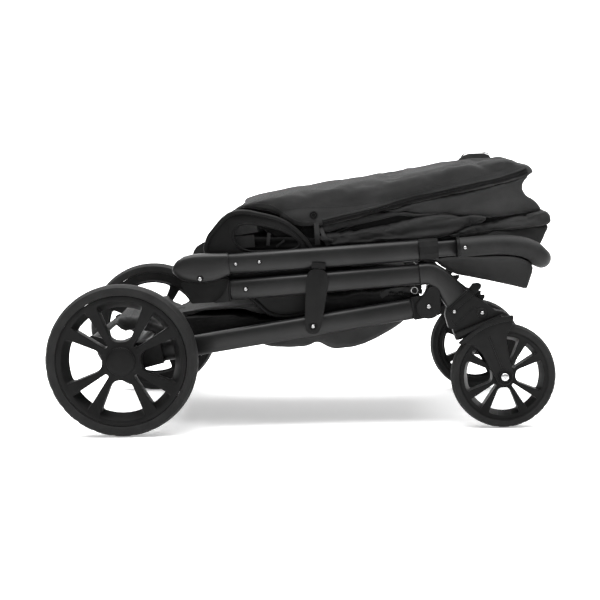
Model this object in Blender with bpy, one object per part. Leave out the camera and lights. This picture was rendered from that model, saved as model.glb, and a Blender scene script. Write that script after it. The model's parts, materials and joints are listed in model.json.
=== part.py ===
"""A pet stroller folded for storage: a four-wheel chassis whose handle lies over the front frame.

Metres, +Z up, +X towards the front casters, +Y to the stroller's left.  Side-elevation points are
(x, z) pairs measured from a point above the ground under the rear axle; `finish` moves everything so
that the origin is the centre of the footprint.  Sides are +1 for left and -1 for right.
"""
import math

import bmesh
import bpy
from mathutils import Matrix, Vector

# Clearances
FIT = 0.0003                    # running gap between touching pieces
BORE_FIT = 0.0004
EDGE = 0.0015                   # rounding of moulded edges

# Wheels and track
REAR_RADIUS = 0.145
FRONT_RADIUS = 0.101
REAR_TYRE_WIDTH = 0.046
FRONT_TYRE_WIDTH = 0.038
REAR_TYRE_HEIGHT = 0.023
FRONT_TYRE_HEIGHT = 0.014
WHEELBASE = 0.7265
FRAME_Y = 0.242                 # middle plane of each side frame
WHEEL_CLEARANCE = 0.009         # side frame to rear tyre

# Frame tubes
TUBE_HEIGHT = 0.040
TUBE_WIDTH = 0.024
TUBE_WALL = 0.002
INNER_HEIGHT = 0.030
INNER_WIDTH = 0.0155
FRONT_TUBE_ANGLE = math.radians(4.0)
HANDLE_TUBE_ANGLE = math.radians(3.4)
HANDLE_TUBE_LENGTH = 0.3645
FRONT_TUBE_LENGTH = 0.362

# Pivots
KNUCKLE_BACK = 0.4352           # fold pivot behind the base pivot
KNUCKLE_RISE = 0.0585
KNUCKLE_RADIUS = 0.0495         # inside this radius the two halves share the width
HANDLE_OFFSET = TUBE_HEIGHT / 2 + 0.0033     # handle tube above the fold pivot
FRONT_OFFSET = TUBE_HEIGHT / 2 + 0.0067      # front tube below it
TUBE_SEAM = 0.0556              # both tubes start this far from the fold pivot
BOLT_RADIUS = 0.005
TONGUE_WIDTH = 0.012
LUG_RADIUS = 0.026

# Casters
CASTER_TILT = math.radians(21.6)
TRAIL = 0.018
FORK_GAP = 0.004                # tyre to fork, each side
FORK_ARM = 0.007
CROWN_GAP = 0.0035
CROWN_THICKNESS = 0.008
HOUSING_WIDTH = 0.032
STEM_RADIUS = 0.006
STEM_LENGTH = 0.026
PIVOT_BACK = 0.065              # base pivot from the swivel axis
PIVOT_RISE = 0.0653             # base pivot above the caster housing's lower face

# Axles and brake
AXLE_RADIUS = 0.006
AXLE_TUBE_RADIUS = 0.012
FRONT_AXLE_RADIUS = 0.004
REAR_HUB_RADIUS = 0.027
FRONT_HUB_RADIUS = 0.016
BRACKET_LENGTH = 0.075
NARROW_START = 0.006            # narrow spoke windows begin this much further out
BRAKE_ARM_Y = 0.206
PEDAL_RADIUS = 0.007
PEDAL_REACH = 0.074

# Handle
GRIP_RADIUS = 0.019
GRIP_START = 0.4925             # along the handle from the fold pivot
COLLAR_LENGTH = 0.036
COLLAR_MARGIN = 0.0022
INNER_TUBE_LENGTH = 0.250
BUTTON_RADIUS = 0.007

# Latch, cabin and canopy
LATCH_WIDTH = 0.038
LATCH_LENGTH = 0.091
LATCH_BACK = 0.2237             # latch pivot behind the base pivot, along the base tube
LATCH_THICKNESS = 0.005
PLATE_Y = 0.213
PLATE_THICKNESS = 0.009
CABIN_HALF = 0.2045
BASKET_HALF = FRAME_Y - TUBE_WIDTH / 2 - FIT
HOOD_HALF = 0.198
BOW_RADIUS = 0.0034
BOW_REACH = 0.3967
BOW_ANGLE = math.radians(22.8)

COLOURS = {
    "anodised_tube": ((0.024, 0.024, 0.026), 0.34, 0.6),
    "moulded_plastic": ((0.017, 0.017, 0.018), 0.5, 0.0),
    "gloss_plastic": ((0.012, 0.012, 0.013), 0.3, 0.0),
    "tyre_rubber": ((0.016, 0.016, 0.016), 0.8, 0.0),
    "grip_foam": ((0.014, 0.014, 0.014), 0.75, 0.0),
    "bright_steel": ((0.5, 0.5, 0.5), 0.25, 1.0),
    "black_cloth": ((0.022, 0.022, 0.024), 0.9, 0.0),
    "black_mesh": ((0.016, 0.016, 0.017), 0.95, 0.0),
    "webbing": ((0.02, 0.02, 0.021), 0.85, 0.0),
}


def polar(length, angle):
    return Vector((math.cos(angle), math.sin(angle))) * length


def arc(centre, radius, start, end, count):
    """Points of an arc in the side elevation, angles in degrees."""
    step = (end - start) / (count - 1)
    return [Vector(centre) + polar(radius, math.radians(start + step * i)) for i in range(count)]


# Places worked out from the sizes
ALONG = polar(1, CASTER_TILT)                       # across the swivel axis, forwards
UPWARD = Vector((-ALONG.y, ALONG.x))                # up the swivel axis
REAR_AXLE = Vector((0, REAR_RADIUS))
FRONT_AXLE = Vector((WHEELBASE, FRONT_RADIUS))
SWIVEL = FRONT_AXLE - ALONG * TRAIL
CROWN_LOW = FRONT_RADIUS + CROWN_GAP
CROWN_TOP = CROWN_LOW + CROWN_THICKNESS
HOUSING_LOW = CROWN_TOP + FIT
BASE_PIVOT = SWIVEL - ALONG * PIVOT_BACK + UPWARD * (HOUSING_LOW + PIVOT_RISE)
KNUCKLE = BASE_PIVOT + Vector((-KNUCKLE_BACK, KNUCKLE_RISE))
BASE_LENGTH = (REAR_AXLE - BASE_PIVOT).length
BACKWARD = (REAR_AXLE - BASE_PIVOT).normalized()
BASE_UP = Vector((BACKWARD.y, -BACKWARD.x))
REAR_WHEEL_Y = FRAME_Y + TUBE_WIDTH / 2 + WHEEL_CLEARANCE + REAR_TYRE_WIDTH / 2
CANOPY_HUB = BASE_PIVOT + Vector((-0.2337, 0.1158))
MIDDLE = Vector(((WHEELBASE + FRONT_RADIUS - REAR_RADIUS) / 2, 0))


def caster_point(across, up):
    """A point from the swivel axis: across it and up from the caster housing's lower face."""
    return SWIVEL + ALONG * across + UPWARD * (HOUSING_LOW + up)


def base_point(back, up):
    """A point along the base tube, behind the base pivot and above the tube's middle line."""
    return BASE_PIVOT + BACKWARD * back + BASE_UP * up


def tilted_point(forward, up, angle):
    """A point from the fold pivot in the direction of one of its tubes."""
    along = polar(1, angle)
    return KNUCKLE + along * forward + Vector((-along.y, along.x)) * up


def handle_point(forward, up):
    return tilted_point(forward, HANDLE_OFFSET + up, HANDLE_TUBE_ANGLE)


def front_point(forward, up):
    return tilted_point(forward, up - FRONT_OFFSET, FRONT_TUBE_ANGLE)


def frame_points(offsets):
    """Side-elevation points given from the base pivot."""
    return [BASE_PIVOT + Vector(offset) for offset in offsets]


def finish_material(name):
    if name in bpy.data.materials:
        return bpy.data.materials[name]
    colour, roughness, metallic = COLOURS[name]
    material = bpy.data.materials.new(name)
    material.use_nodes = True
    shader = material.node_tree.nodes["Principled BSDF"]
    shader.inputs["Base Color"].default_value = (*colour, 1)
    shader.inputs["Roughness"].default_value = roughness
    shader.inputs["Metallic"].default_value = metallic
    return material


def finish(name, mesh, material, origin=(0, 0), origin_y=0.0, smooth=None):
    """Turn a bmesh into a named object whose origin is at a side-elevation point."""
    place = Vector((origin[0] - MIDDLE.x, origin_y, origin[1]))
    bmesh.ops.recalc_face_normals(mesh, faces=mesh.faces)
    bmesh.ops.translate(mesh, verts=mesh.verts, vec=-place - Vector((MIDDLE.x, 0, 0)))
    data = bpy.data.meshes.new(name)
    mesh.to_mesh(data)
    mesh.free()
    if smooth:
        data.shade_smooth()
        data.set_sharp_from_angle(angle=math.radians(smooth))
    data.materials.append(finish_material(material))
    part = bpy.data.objects.new(name, data)
    part.location = place
    bpy.context.collection.objects.link(part)
    return part


def loft(rings, ring_closed=False):
    """Skin rings of equal count; the last ring meets the first, or both ends are filled."""
    mesh = bmesh.new()
    loops = [[mesh.verts.new(point) for point in ring] for ring in rings]
    pairs = list(zip(loops, loops[1:]))
    if ring_closed:
        pairs.append((loops[-1], loops[0]))
    else:
        mesh.faces.new(loops[0])
        mesh.faces.new(loops[-1])
    for first, second in pairs:
        for i in range(len(first)):
            j = (i + 1) % len(first)
            mesh.faces.new((first[i], first[j], second[j], second[i]))
    return mesh


def slab(outline, y_from, y_to):
    """A side-elevation outline extruded between two planes across the stroller."""
    return loft([[Vector((p[0], y, p[1])) for p in outline] for y in sorted((y_from, y_to))])


def turned(profile, centre, steps, bored=False):
    """A profile of (radius, y) pairs turned about the line along Y through a side point."""
    rings = []
    for radius, y in profile:
        ring = [Vector((p[0], y, p[1])) for p in arc(centre, radius, 0, 360 - 360 / steps, steps)]
        rings.append(ring)
    return loft(rings, ring_closed=bored)


def stadium(height, width, count=5):
    """A flat-sided oval section as (up, across) pairs."""
    end = height / 2 - width / 2
    upper = [Vector((end, 0)) + polar(width / 2, a) for a in angles(-90, 90, count)]
    lower = [Vector((-end, 0)) + polar(width / 2, a) for a in angles(90, 270, count)]
    return upper + lower


def angles(start, end, count):
    return [math.radians(start + (end - start) * i / (count - 1)) for i in range(count)]


def oval_bar(start, end, y, height, width, wall=0.0):
    """A straight oval tube between two side points; with a wall it is open at both ends."""
    forward = (end - start).normalized()
    up = Vector((-forward.y, forward.x))

    def ring(centre, inset):
        section = stadium(height - 2 * inset, width - 2 * inset)
        places = [(centre + up * s.x, y + s.y) for s in section]
        return [Vector((p.x, across, p.y)) for p, across in places]

    if not wall:
        return loft([ring(start, 0), ring(end, 0)])
    return loft([ring(start, 0), ring(end, 0), ring(end, wall), ring(start, wall)], ring_closed=True)


def swept(path, radius, sides):
    """A round bar along a path, its section carried without twist."""
    rings = []
    facing = (path[1] - path[0]).normalized()
    across = Vector((0, 0, 1)).cross(facing).normalized()
    for i, point in enumerate(path):
        before = path[max(i - 1, 0)]
        after = path[min(i + 1, len(path) - 1)]
        heading = (after - before).normalized()
        across = facing.rotation_difference(heading) @ across
        facing = heading
        lift = facing.cross(across)
        turn = [2 * math.pi * k / sides for k in range(sides)]
        rings.append([point + (across * math.cos(a) + lift * math.sin(a)) * radius for a in turn])
    return loft(rings)


def use_cutter(part, cutter, operation):
    """Cut or join with a second object, which is then only a guide."""
    cutter.hide_render = True
    cutter.display_type = "WIRE"
    step = part.modifiers.new(cutter.name, "BOOLEAN")
    step.operation = operation
    step.solver = "EXACT"
    step.object = cutter
    return part


def cut(part, mesh, label):
    return use_cutter(part, finish(part.name + "_" + label, mesh, "moulded_plastic"), "DIFFERENCE")


def join(part, mesh, label):
    return use_cutter(part, finish(part.name + "_" + label, mesh, "moulded_plastic"), "UNION")


def round_edges(part, width=EDGE, segments=1, angle=40):
    step = part.modifiers.new("edges", "BEVEL")
    step.width = width
    step.segments = segments
    step.limit_method = "ANGLE"
    step.angle_limit = math.radians(angle)
    return part


def side_name(name, side):
    return f"{name}_{'left' if side > 0 else 'right'}"


def window_cutter(centre, y_from, y_to, outlines):
    """Several separate window prisms in one mesh."""
    mesh = bmesh.new()
    for outline in outlines:
        rings = []
        for y in sorted((y_from, y_to)):
            rings.append([mesh.verts.new((centre.x + p.x, y, centre.y + p.y)) for p in outline])
        low, high = rings
        mesh.faces.new(low)
        mesh.faces.new(high)
        for i in range(len(low)):
            j = (i + 1) % len(low)
            mesh.faces.new((low[i], low[j], high[j], high[i]))
    return mesh


def spoke_windows(inner, outer):
    """Four wide windows and four narrow ones between them, as outlines about the hub."""
    outlines = []
    for quarter in range(4):
        for offset, half_out, half_in, start in ((0, 23, 20, inner), (45, 9, 3, inner + NARROW_START)):
            middle = 90 * quarter + offset
            rim = [polar(outer, a) for a in angles(middle - half_out, middle + half_out, 5)]
            hub = [polar(start, a) for a in angles(middle + half_in, middle - half_in, 3)]
            outlines.append(rim + hub)
    return outlines


def make_wheel(kind, side, centre, y, sizes):
    """A rim with spoke windows and a solid tyre around it."""
    radius, width, tyre_height, hub_radius, hub_half, bore, steps = sizes
    seat = radius - tyre_height
    half = width / 2
    band = seat - 0.013
    web = 0.006
    profile = [
        (bore, -hub_half), (hub_radius, -hub_half), (hub_radius, -web), (band, -web),
        (band + 0.005, -half * 0.8), (seat, -half * 0.8), (seat, half * 0.8),
        (band + 0.005, half * 0.8), (band, web), (hub_radius, web), (hub_radius, hub_half),
        (bore, hub_half),
    ]
    placed = [(r, y + offset) for r, offset in profile]
    rim = finish(side_name(f"{kind}_rim", side), turned(placed, centre, steps, True),
                 "moulded_plastic", centre, y, 30)
    windows = spoke_windows(hub_radius + 0.012, band - 0.004)
    cut(rim, window_cutter(centre, y - web - 0.01, y + web + 0.01, windows), "windows")
    inner = seat + FIT
    section = [
        (inner, -half * 0.84), (inner + tyre_height * 0.42, -half), (radius - 0.006, -half * 0.86),
        (radius, -half * 0.42), (radius, half * 0.42), (radius - 0.006, half * 0.86),
        (inner + tyre_height * 0.42, half), (inner, half * 0.84),
    ]
    placed = [(r, y + offset) for r, offset in section]
    finish(side_name(f"{kind}_tyre", side), turned(placed, centre, steps, True),
           "tyre_rubber", centre, y, 40)


def make_rear_wheel(side):
    y = side * REAR_WHEEL_Y
    hub_half = REAR_TYRE_WIDTH / 2 - 0.004
    make_wheel("rear", side, REAR_AXLE, y, (
        REAR_RADIUS, REAR_TYRE_WIDTH, REAR_TYRE_HEIGHT, REAR_HUB_RADIUS, hub_half,
        AXLE_RADIUS + BORE_FIT, 40))
    face = y + side * (hub_half + FIT)
    outer = face + side * 0.007
    profile = [(REAR_HUB_RADIUS, face), (REAR_HUB_RADIUS, outer - side * 0.002),
               (REAR_HUB_RADIUS - 0.004, outer)]
    finish(side_name("rear_hub_cap", side), turned(profile, REAR_AXLE, 28),
           "gloss_plastic", REAR_AXLE, y, 30)


def make_base(side):
    """One base tube with the axle bracket behind it and the pivot tongue in front."""
    y = side * FRAME_Y
    seam_front = LUG_RADIUS + 0.0055
    seam_rear = BASE_LENGTH - BRACKET_LENGTH
    tube = oval_bar(base_point(seam_front, 0), base_point(seam_rear, 0), y,
                    TUBE_HEIGHT, TUBE_WIDTH, TUBE_WALL)
    finish(side_name("base_tube", side), tube, "anodised_tube", BASE_PIVOT, y, 40)

    half = TUBE_HEIGHT / 2 + 0.002
    root = LUG_RADIUS + 0.002
    block = [base_point(seam_front - FIT, -half + 0.002), base_point(seam_front - FIT, half - 0.002),
             base_point(root, half - 0.004), base_point(root, -half + 0.004)]
    end = finish(side_name("base_end", side),
                 slab(block, y - TUBE_WIDTH / 2, y + TUBE_WIDTH / 2), "moulded_plastic", BASE_PIVOT, y)
    heading = math.degrees(math.atan2(-BACKWARD.y, -BACKWARD.x))
    reach = LUG_RADIUS - 0.004
    tongue = arc(BASE_PIVOT, reach, heading - 80, heading + 80, 13)
    tongue += [base_point(root + 0.002, reach), base_point(root + 0.002, -reach)]
    join(end, slab(tongue, y - TONGUE_WIDTH / 2, y + TONGUE_WIDTH / 2), "tongue")
    bore = turned([(BOLT_RADIUS + BORE_FIT, y - 0.02), (BOLT_RADIUS + BORE_FIT, y + 0.02)],
                  BASE_PIVOT, 20)
    cut(end, bore, "bore")

    around = arc(REAR_AXLE, 0.030, heading + 70, heading + 290, 13)
    shape = around + [base_point(seam_rear + FIT, -half), base_point(seam_rear + FIT, half)]
    inner = side * (FRAME_Y - TUBE_WIDTH / 2 - 0.002)
    outer = side * (FRAME_Y + TUBE_WIDTH / 2 + 0.003)
    bracket = finish(side_name("axle_bracket", side), slab(shape, inner, outer),
                     "moulded_plastic", REAR_AXLE, y)
    bore = turned([(AXLE_RADIUS + BORE_FIT, y - 0.03), (AXLE_RADIUS + BORE_FIT, y + 0.03)],
                  REAR_AXLE, 20)
    cut(bracket, bore, "bore")
    round_edges(bracket)


def make_axle():
    """The stepped rear axle: a tube between the brackets and a stub through each wheel."""
    shoulder = FRAME_Y - TUBE_WIDTH / 2 - 0.002 - FIT
    tip = REAR_WHEEL_Y + REAR_TYRE_WIDTH / 2 - 0.004
    profile = [(AXLE_RADIUS, -tip), (AXLE_RADIUS, -shoulder), (AXLE_TUBE_RADIUS, -shoulder),
               (AXLE_TUBE_RADIUS, shoulder), (AXLE_RADIUS, shoulder), (AXLE_RADIUS, tip)]
    finish("rear_axle", turned(profile, REAR_AXLE, 24), "anodised_tube", REAR_AXLE, 0, 30)


def make_cross_tube(name, centre, radius, gap):
    reach = FRAME_Y - TUBE_WIDTH / 2 - gap
    finish(name, turned([(radius, -reach), (radius, reach)], centre, 20),
           "anodised_tube", centre, 0, 30)


def make_brake():
    """A foot bar behind the axle on two arms that turn about the axle tube."""
    pedal = REAR_AXLE + polar(PEDAL_REACH, math.radians(158))
    bore = AXLE_TUBE_RADIUS + BORE_FIT
    arm = [pedal + Vector((-0.008, -0.009)), *arc(REAR_AXLE, bore + 0.0065, 235, 300, 5),
           REAR_AXLE + Vector((0.062, -0.002)), REAR_AXLE + Vector((0.070, 0.008)),
           REAR_AXLE + Vector((0.062, 0.018)), *arc(REAR_AXLE, bore + 0.0065, 60, 95, 4),
           pedal + Vector((0.0, 0.011)), pedal + Vector((-0.009, 0.006))]
    thick = 0.007
    bar = finish("brake_bar", slab(arm, BRAKE_ARM_Y - thick, BRAKE_ARM_Y), "moulded_plastic",
                 REAR_AXLE, 0)
    join(bar, slab(arm, -BRAKE_ARM_Y, -BRAKE_ARM_Y + thick), "arm")
    reach = BRAKE_ARM_Y - thick / 2
    join(bar, turned([(PEDAL_RADIUS, -reach), (PEDAL_RADIUS, reach)], pedal, 14), "pedal")
    cut(bar, turned([(bore, -FRAME_Y), (bore, FRAME_Y)], REAR_AXLE, 24), "axle_bore")
    hole = REAR_AXLE + Vector((0.056, 0.008))
    cut(bar, turned([(0.005, -FRAME_Y), (0.005, FRAME_Y)], hole, 14), "cable_hole")


def make_front_frame(side):
    """Front tube, knuckle housing at its rear end and the elbow with the base pivot lug."""
    y = side * FRAME_Y
    end = TUBE_SEAM + FRONT_TUBE_LENGTH
    tube = oval_bar(front_point(TUBE_SEAM, 0), front_point(end, 0), y,
                    TUBE_HEIGHT, TUBE_WIDTH, TUBE_WALL)
    finish(side_name("front_tube", side), tube, "anodised_tube", BASE_PIVOT, y, 40)

    half = TUBE_HEIGHT / 2
    seam = end + FIT
    bend = frame_points([(0.0063, 0.0823), (0.0183, 0.0783), (0.0333, 0.0672), (0.0493, 0.0498)])
    collar_high = caster_point(0.013, 0.0686 + FIT)
    collar_low = caster_point(-0.0378, 0.0549 + FIT)
    lug = arc(BASE_PIVOT, LUG_RADIUS, 10, -170, 13)
    shape = [front_point(seam, half), *bend, collar_high, collar_low, *lug, front_point(seam, -half)]
    width = TUBE_WIDTH / 2 + 0.002
    elbow = finish(side_name("elbow", side), slab(shape, y - width, y + width),
                   "moulded_plastic", BASE_PIVOT, y)
    slot_radius = LUG_RADIUS + 0.004
    slot = arc(BASE_PIVOT, slot_radius, 170, 370, 15)
    slot += [BASE_PIVOT + Vector((x, LUG_RADIUS)) for x in (slot_radius, -slot_radius)]
    slot_half = TONGUE_WIDTH / 2 + FIT
    cut(elbow, slab(slot, y - slot_half, y + slot_half), "slot")
    bolt = turned([(BOLT_RADIUS, y - width + 0.001), (BOLT_RADIUS, y + width - 0.001)], BASE_PIVOT, 20)
    join(elbow, bolt, "bolt")
    round_edges(elbow, 0.0012)

    half = TUBE_HEIGHT / 2
    shell = side * (TUBE_WIDTH / 2 + 0.0015)
    cheek = [*arc(KNUCKLE, 0.022, 10, 170, 9), KNUCKLE + Vector((-0.0385, -0.0109)),
             KNUCKLE + Vector((-0.0300, -0.0330)), KNUCKLE + Vector((-0.0170, -0.0486)),
             front_point(TUBE_SEAM - FIT, -half - 0.002), front_point(TUBE_SEAM - FIT, half)]
    housing = finish(side_name("knuckle_housing", side), slab(cheek, y - shell, y - side * FIT),
                     "moulded_plastic", KNUCKLE, y)
    step = KNUCKLE_RADIUS + 0.0005
    low = tilted_point(step, -FRONT_OFFSET - half, FRONT_TUBE_ANGLE)
    web = [low, front_point(TUBE_SEAM - FIT, -half - 0.002), front_point(TUBE_SEAM - FIT, half),
           tilted_point(step, -FRONT_OFFSET + half - 0.002, FRONT_TUBE_ANGLE)]
    join(housing, slab(web, y - shell, y + shell * 0.95), "web")
    face = y + shell + side * FIT
    bolt = [(BOLT_RADIUS, y - shell * 0.8), (BOLT_RADIUS, face), (BOLT_RADIUS + 0.004, face),
            (BOLT_RADIUS + 0.003, face + side * 0.0022)]
    join(housing, turned(bolt, KNUCKLE, 20), "bolt")


def make_handle(side):
    """Knuckle cap, the outer tube of the handle, its collar and the sliding inner tube."""
    y = side * FRAME_Y
    half = TUBE_HEIGHT / 2
    end = TUBE_SEAM + HANDLE_TUBE_LENGTH
    shell = side * (TUBE_WIDTH / 2 + 0.0015)
    cap_outline = [KNUCKLE + Vector(p) for p in (
        (-0.0422, -0.0072), (-0.0476, 0.0060), (-0.0440, 0.0200), (-0.0300, 0.0345),
        (-0.0087, 0.0421))]
    cap_outline += [handle_point(TUBE_SEAM - FIT, half + 0.0015), handle_point(TUBE_SEAM - FIT, -half),
                    *arc(KNUCKLE, 0.0165, -60, -120, 5)]
    cap = finish(side_name("knuckle_cap", side), slab(cap_outline, y, y + shell),
                 "moulded_plastic", KNUCKLE, y)
    step = KNUCKLE_RADIUS + 0.0005
    web = [handle_point(step, -half + 0.001), handle_point(step, half),
           handle_point(TUBE_SEAM - FIT, half + 0.0015), handle_point(TUBE_SEAM - FIT, -half)]
    join(cap, slab(web, y - shell * 0.95, y + shell * 0.9), "web")
    radius = BOLT_RADIUS + BORE_FIT
    cut(cap, turned([(radius, y - 0.03), (radius, y + 0.03)], KNUCKLE, 20), "bore")

    tube = oval_bar(handle_point(TUBE_SEAM, 0), handle_point(end, 0), y,
                    TUBE_HEIGHT, TUBE_WIDTH, TUBE_WALL)
    finish(side_name("handle_tube", side), tube, "anodised_tube", KNUCKLE, y, 40)

    start = end + FIT
    collar = finish(side_name("collar", side), oval_bar(
        handle_point(start, 0), handle_point(start + COLLAR_LENGTH, 0), y,
        TUBE_HEIGHT + COLLAR_MARGIN, TUBE_WIDTH + 2 * COLLAR_MARGIN), "moulded_plastic", KNUCKLE, y, 40)
    bore = oval_bar(handle_point(start - 0.01, 0), handle_point(start + COLLAR_LENGTH + 0.01, 0), y,
                    INNER_HEIGHT + 2 * FIT, INNER_WIDTH + 2 * FIT)
    cut(collar, bore, "bore")
    middle = handle_point(start + COLLAR_LENGTH / 2, 0)
    face = y - side * (TUBE_WIDTH / 2 + COLLAR_MARGIN)
    radius = BUTTON_RADIUS + BORE_FIT
    pocket = [(radius, face - side * 0.002), (radius, face + side * 0.0042)]
    cut(collar, turned(pocket, middle, 20), "pocket")
    button = [(BUTTON_RADIUS, face + side * 0.0020), (BUTTON_RADIUS, face - side * 0.0015),
              (BUTTON_RADIUS - 0.001, face - side * 0.0022)]
    finish(side_name("height_button", side), turned(button, middle, 20), "gloss_plastic",
           middle, face, 30)

    start = GRIP_START - FIT - INNER_TUBE_LENGTH
    inner = oval_bar(handle_point(start, 0), handle_point(GRIP_START - FIT, 0), y,
                     INNER_HEIGHT, INNER_WIDTH, 0.0015)
    finish(side_name("inner_tube", side), inner, "anodised_tube", KNUCKLE, y, 40)


def make_grip():
    """The padded bar: two side lengths that dip and turn inwards into the crossbar."""
    half = [handle_point(GRIP_START, 0), handle_point(GRIP_START + 0.060, 0.0005),
            handle_point(GRIP_START + 0.095, -0.0015), handle_point(GRIP_START + 0.125, -0.0075),
            handle_point(GRIP_START + 0.145, -0.0170)]
    bar = handle_point(GRIP_START + 0.161, -0.0330)
    corner = 0.022
    y = FRAME_Y
    side_path = [Vector((p.x, y, p.y)) for p in half]
    start = side_path[-1]
    end = Vector((bar.x, y - corner, bar.y))
    knee = Vector((bar.x, y, bar.y))
    turn = [start.lerp(knee, t).lerp(knee.lerp(end, t), t) for t in (0.25, 0.5, 0.75, 1)]
    left = side_path + turn
    right = [Vector((p.x, -p.y, p.z)) for p in reversed(left)]
    grip = finish("grip_bar", swept(left + right, GRIP_RADIUS, 16), "grip_foam", KNUCKLE, 0, 40)
    out = bar.x + GRIP_RADIUS
    wide = 0.020
    pocket = bmesh.new()
    bmesh.ops.create_cube(pocket, size=1)
    scale_to(pocket, (0.016, 2 * wide + 2 * BORE_FIT, 0.014 + 2 * BORE_FIT), (out, 0, bar.y))
    cut(grip, pocket, "pocket")
    button = bmesh.new()
    bmesh.ops.create_cube(button, size=1)
    scale_to(button, (0.007, 2 * wide, 0.014), (out - 0.0015, 0, bar.y))
    key = finish("fold_button", button, "gloss_plastic", bar, 0)
    round_edges(key, 0.001)


def scale_to(mesh, size, centre):
    """Scale a unit cube to a size and move it to its place."""
    bmesh.ops.scale(mesh, vec=size, verts=mesh.verts)
    bmesh.ops.translate(mesh, vec=centre, verts=mesh.verts)


def make_caster(side):
    """Caster housing, the fork that swivels under it, its axle, the lock lever and the wheel."""
    y = side * FRAME_Y
    half = HOUSING_WIDTH / 2
    outline = [caster_point(*p) for p in (
        (-0.043, 0.0), (0.076, 0.0), (0.073, 0.010), (0.0385, 0.043), (0.030, 0.0600), (0.013, 0.0686),
        (-0.0378, 0.0549))]
    housing = finish(side_name("caster_housing", side), slab(outline, y - half, y + half),
                     "moulded_plastic", BASE_PIVOT, y)
    stem_low = SWIVEL + UPWARD * (CROWN_TOP - 0.002)
    stem_high = caster_point(0, STEM_LENGTH)
    bore_low = SWIVEL + UPWARD * (CROWN_TOP - 0.01)
    bore_high = caster_point(0, STEM_LENGTH + 0.003)
    bore = swept([flat(bore_low, y), flat(bore_high, y)], STEM_RADIUS + BORE_FIT, 20)
    cut(housing, bore, "stem_bore")
    round_edges(housing, 0.0025, 2)

    fork_half = FRONT_TYRE_WIDTH / 2 + FORK_GAP + FORK_ARM
    tip = 0.018
    arm = [(-0.036, CROWN_TOP), (-0.028, CROWN_LOW - 0.004), (-0.0186, CROWN_LOW - 0.016),
           (-0.0082, CROWN_LOW - 0.042), (-0.002, 0.030)]
    arm = [SWIVEL + ALONG * a + UPWARD * b for a, b in arm]
    lean = math.degrees(CASTER_TILT)
    arm += arc(FRONT_AXLE, tip, 180 + lean, 360 + lean, 9)
    arm += [SWIVEL + ALONG * a + UPWARD * b for a, b in (
        (0.0370, 0.0300), (0.0400, CROWN_LOW - 0.050), (0.0460, CROWN_LOW - 0.026),
        (0.0642, CROWN_LOW - 0.003), (0.0680, CROWN_TOP))]
    fork = finish(side_name("fork", side), slab(arm, y - fork_half, y + fork_half),
                  "moulded_plastic", SWIVEL, y)
    slot_half = fork_half - FORK_ARM
    slot = [SWIVEL + ALONG * a + UPWARD * b for a, b in (
        (-0.12, -0.12), (0.12, -0.12), (0.12, CROWN_LOW), (-0.12, CROWN_LOW))]
    cut(fork, slab(slot, y - slot_half, y + slot_half), "slot")
    join(fork, swept([flat(stem_low, y), flat(stem_high, y)], STEM_RADIUS, 20), "stem")
    bore = turned([(FRONT_AXLE_RADIUS + BORE_FIT, y - 0.06), (FRONT_AXLE_RADIUS + BORE_FIT, y + 0.06)],
                  FRONT_AXLE, 16)
    cut(fork, bore, "axle_bore")

    head = fork_half + FIT
    profile = [(FRONT_AXLE_RADIUS + 0.003, -head - 0.003), (FRONT_AXLE_RADIUS + 0.003, -head),
               (FRONT_AXLE_RADIUS, -head), (FRONT_AXLE_RADIUS, head), (FRONT_AXLE_RADIUS + 0.004, head),
               (FRONT_AXLE_RADIUS + 0.003, head + 0.003)]
    placed = [(r, y + side * offset) for r, offset in profile]
    finish(side_name("front_axle", side), turned(placed, FRONT_AXLE, 16), "bright_steel",
           SWIVEL, y, 30)
    make_wheel("front", side, FRONT_AXLE, y, (
        FRONT_RADIUS, FRONT_TYRE_WIDTH, FRONT_TYRE_HEIGHT, FRONT_HUB_RADIUS,
        FRONT_TYRE_WIDTH / 2 + FORK_GAP - FIT, FRONT_AXLE_RADIUS + BORE_FIT, 36))

    lever = [caster_point(*p) for p in (
        (0.0170, 0.0676), (0.0310, 0.0610), (0.0395, 0.0640), (0.0400, 0.0790), (0.0300, 0.0830))]
    lock = finish(side_name("swivel_lock", side), slab(lever, y - 0.009, y + 0.009),
                  "gloss_plastic", caster_point(0.0310, 0.0630), y)
    round_edges(lock, 0.001)


def flat(point, y):
    return Vector((point[0], y, point[1]))


def make_latch():
    """A flat storage latch outside the right base tube and its keeper on the handle tube."""
    pivot = base_point(LATCH_BACK, 0)
    inner = FRAME_Y + TUBE_WIDTH / 2 + FIT
    lean = 84
    along = polar(1, math.radians(lean))
    top = pivot + along * LATCH_LENGTH
    half = LATCH_WIDTH / 2
    shape = arc(pivot, half, lean + 90, lean + 270, 11) + arc(top, half, lean - 90, lean + 90, 11)
    latch = finish("storage_latch", slab(shape, -inner, -inner - LATCH_THICKNESS), "moulded_plastic",
                   pivot, -inner)
    round_edges(latch)
    reach = LATCH_LENGTH + half
    hook = arc(pivot, reach + 0.001, lean - 7, lean + 7, 5)
    hook += arc(pivot, reach + 0.012, lean + 6, lean - 6, 5)
    finish("latch_keeper", slab(hook, -inner, -inner - LATCH_THICKNESS), "moulded_plastic",
           KNUCKLE, -inner)


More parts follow.
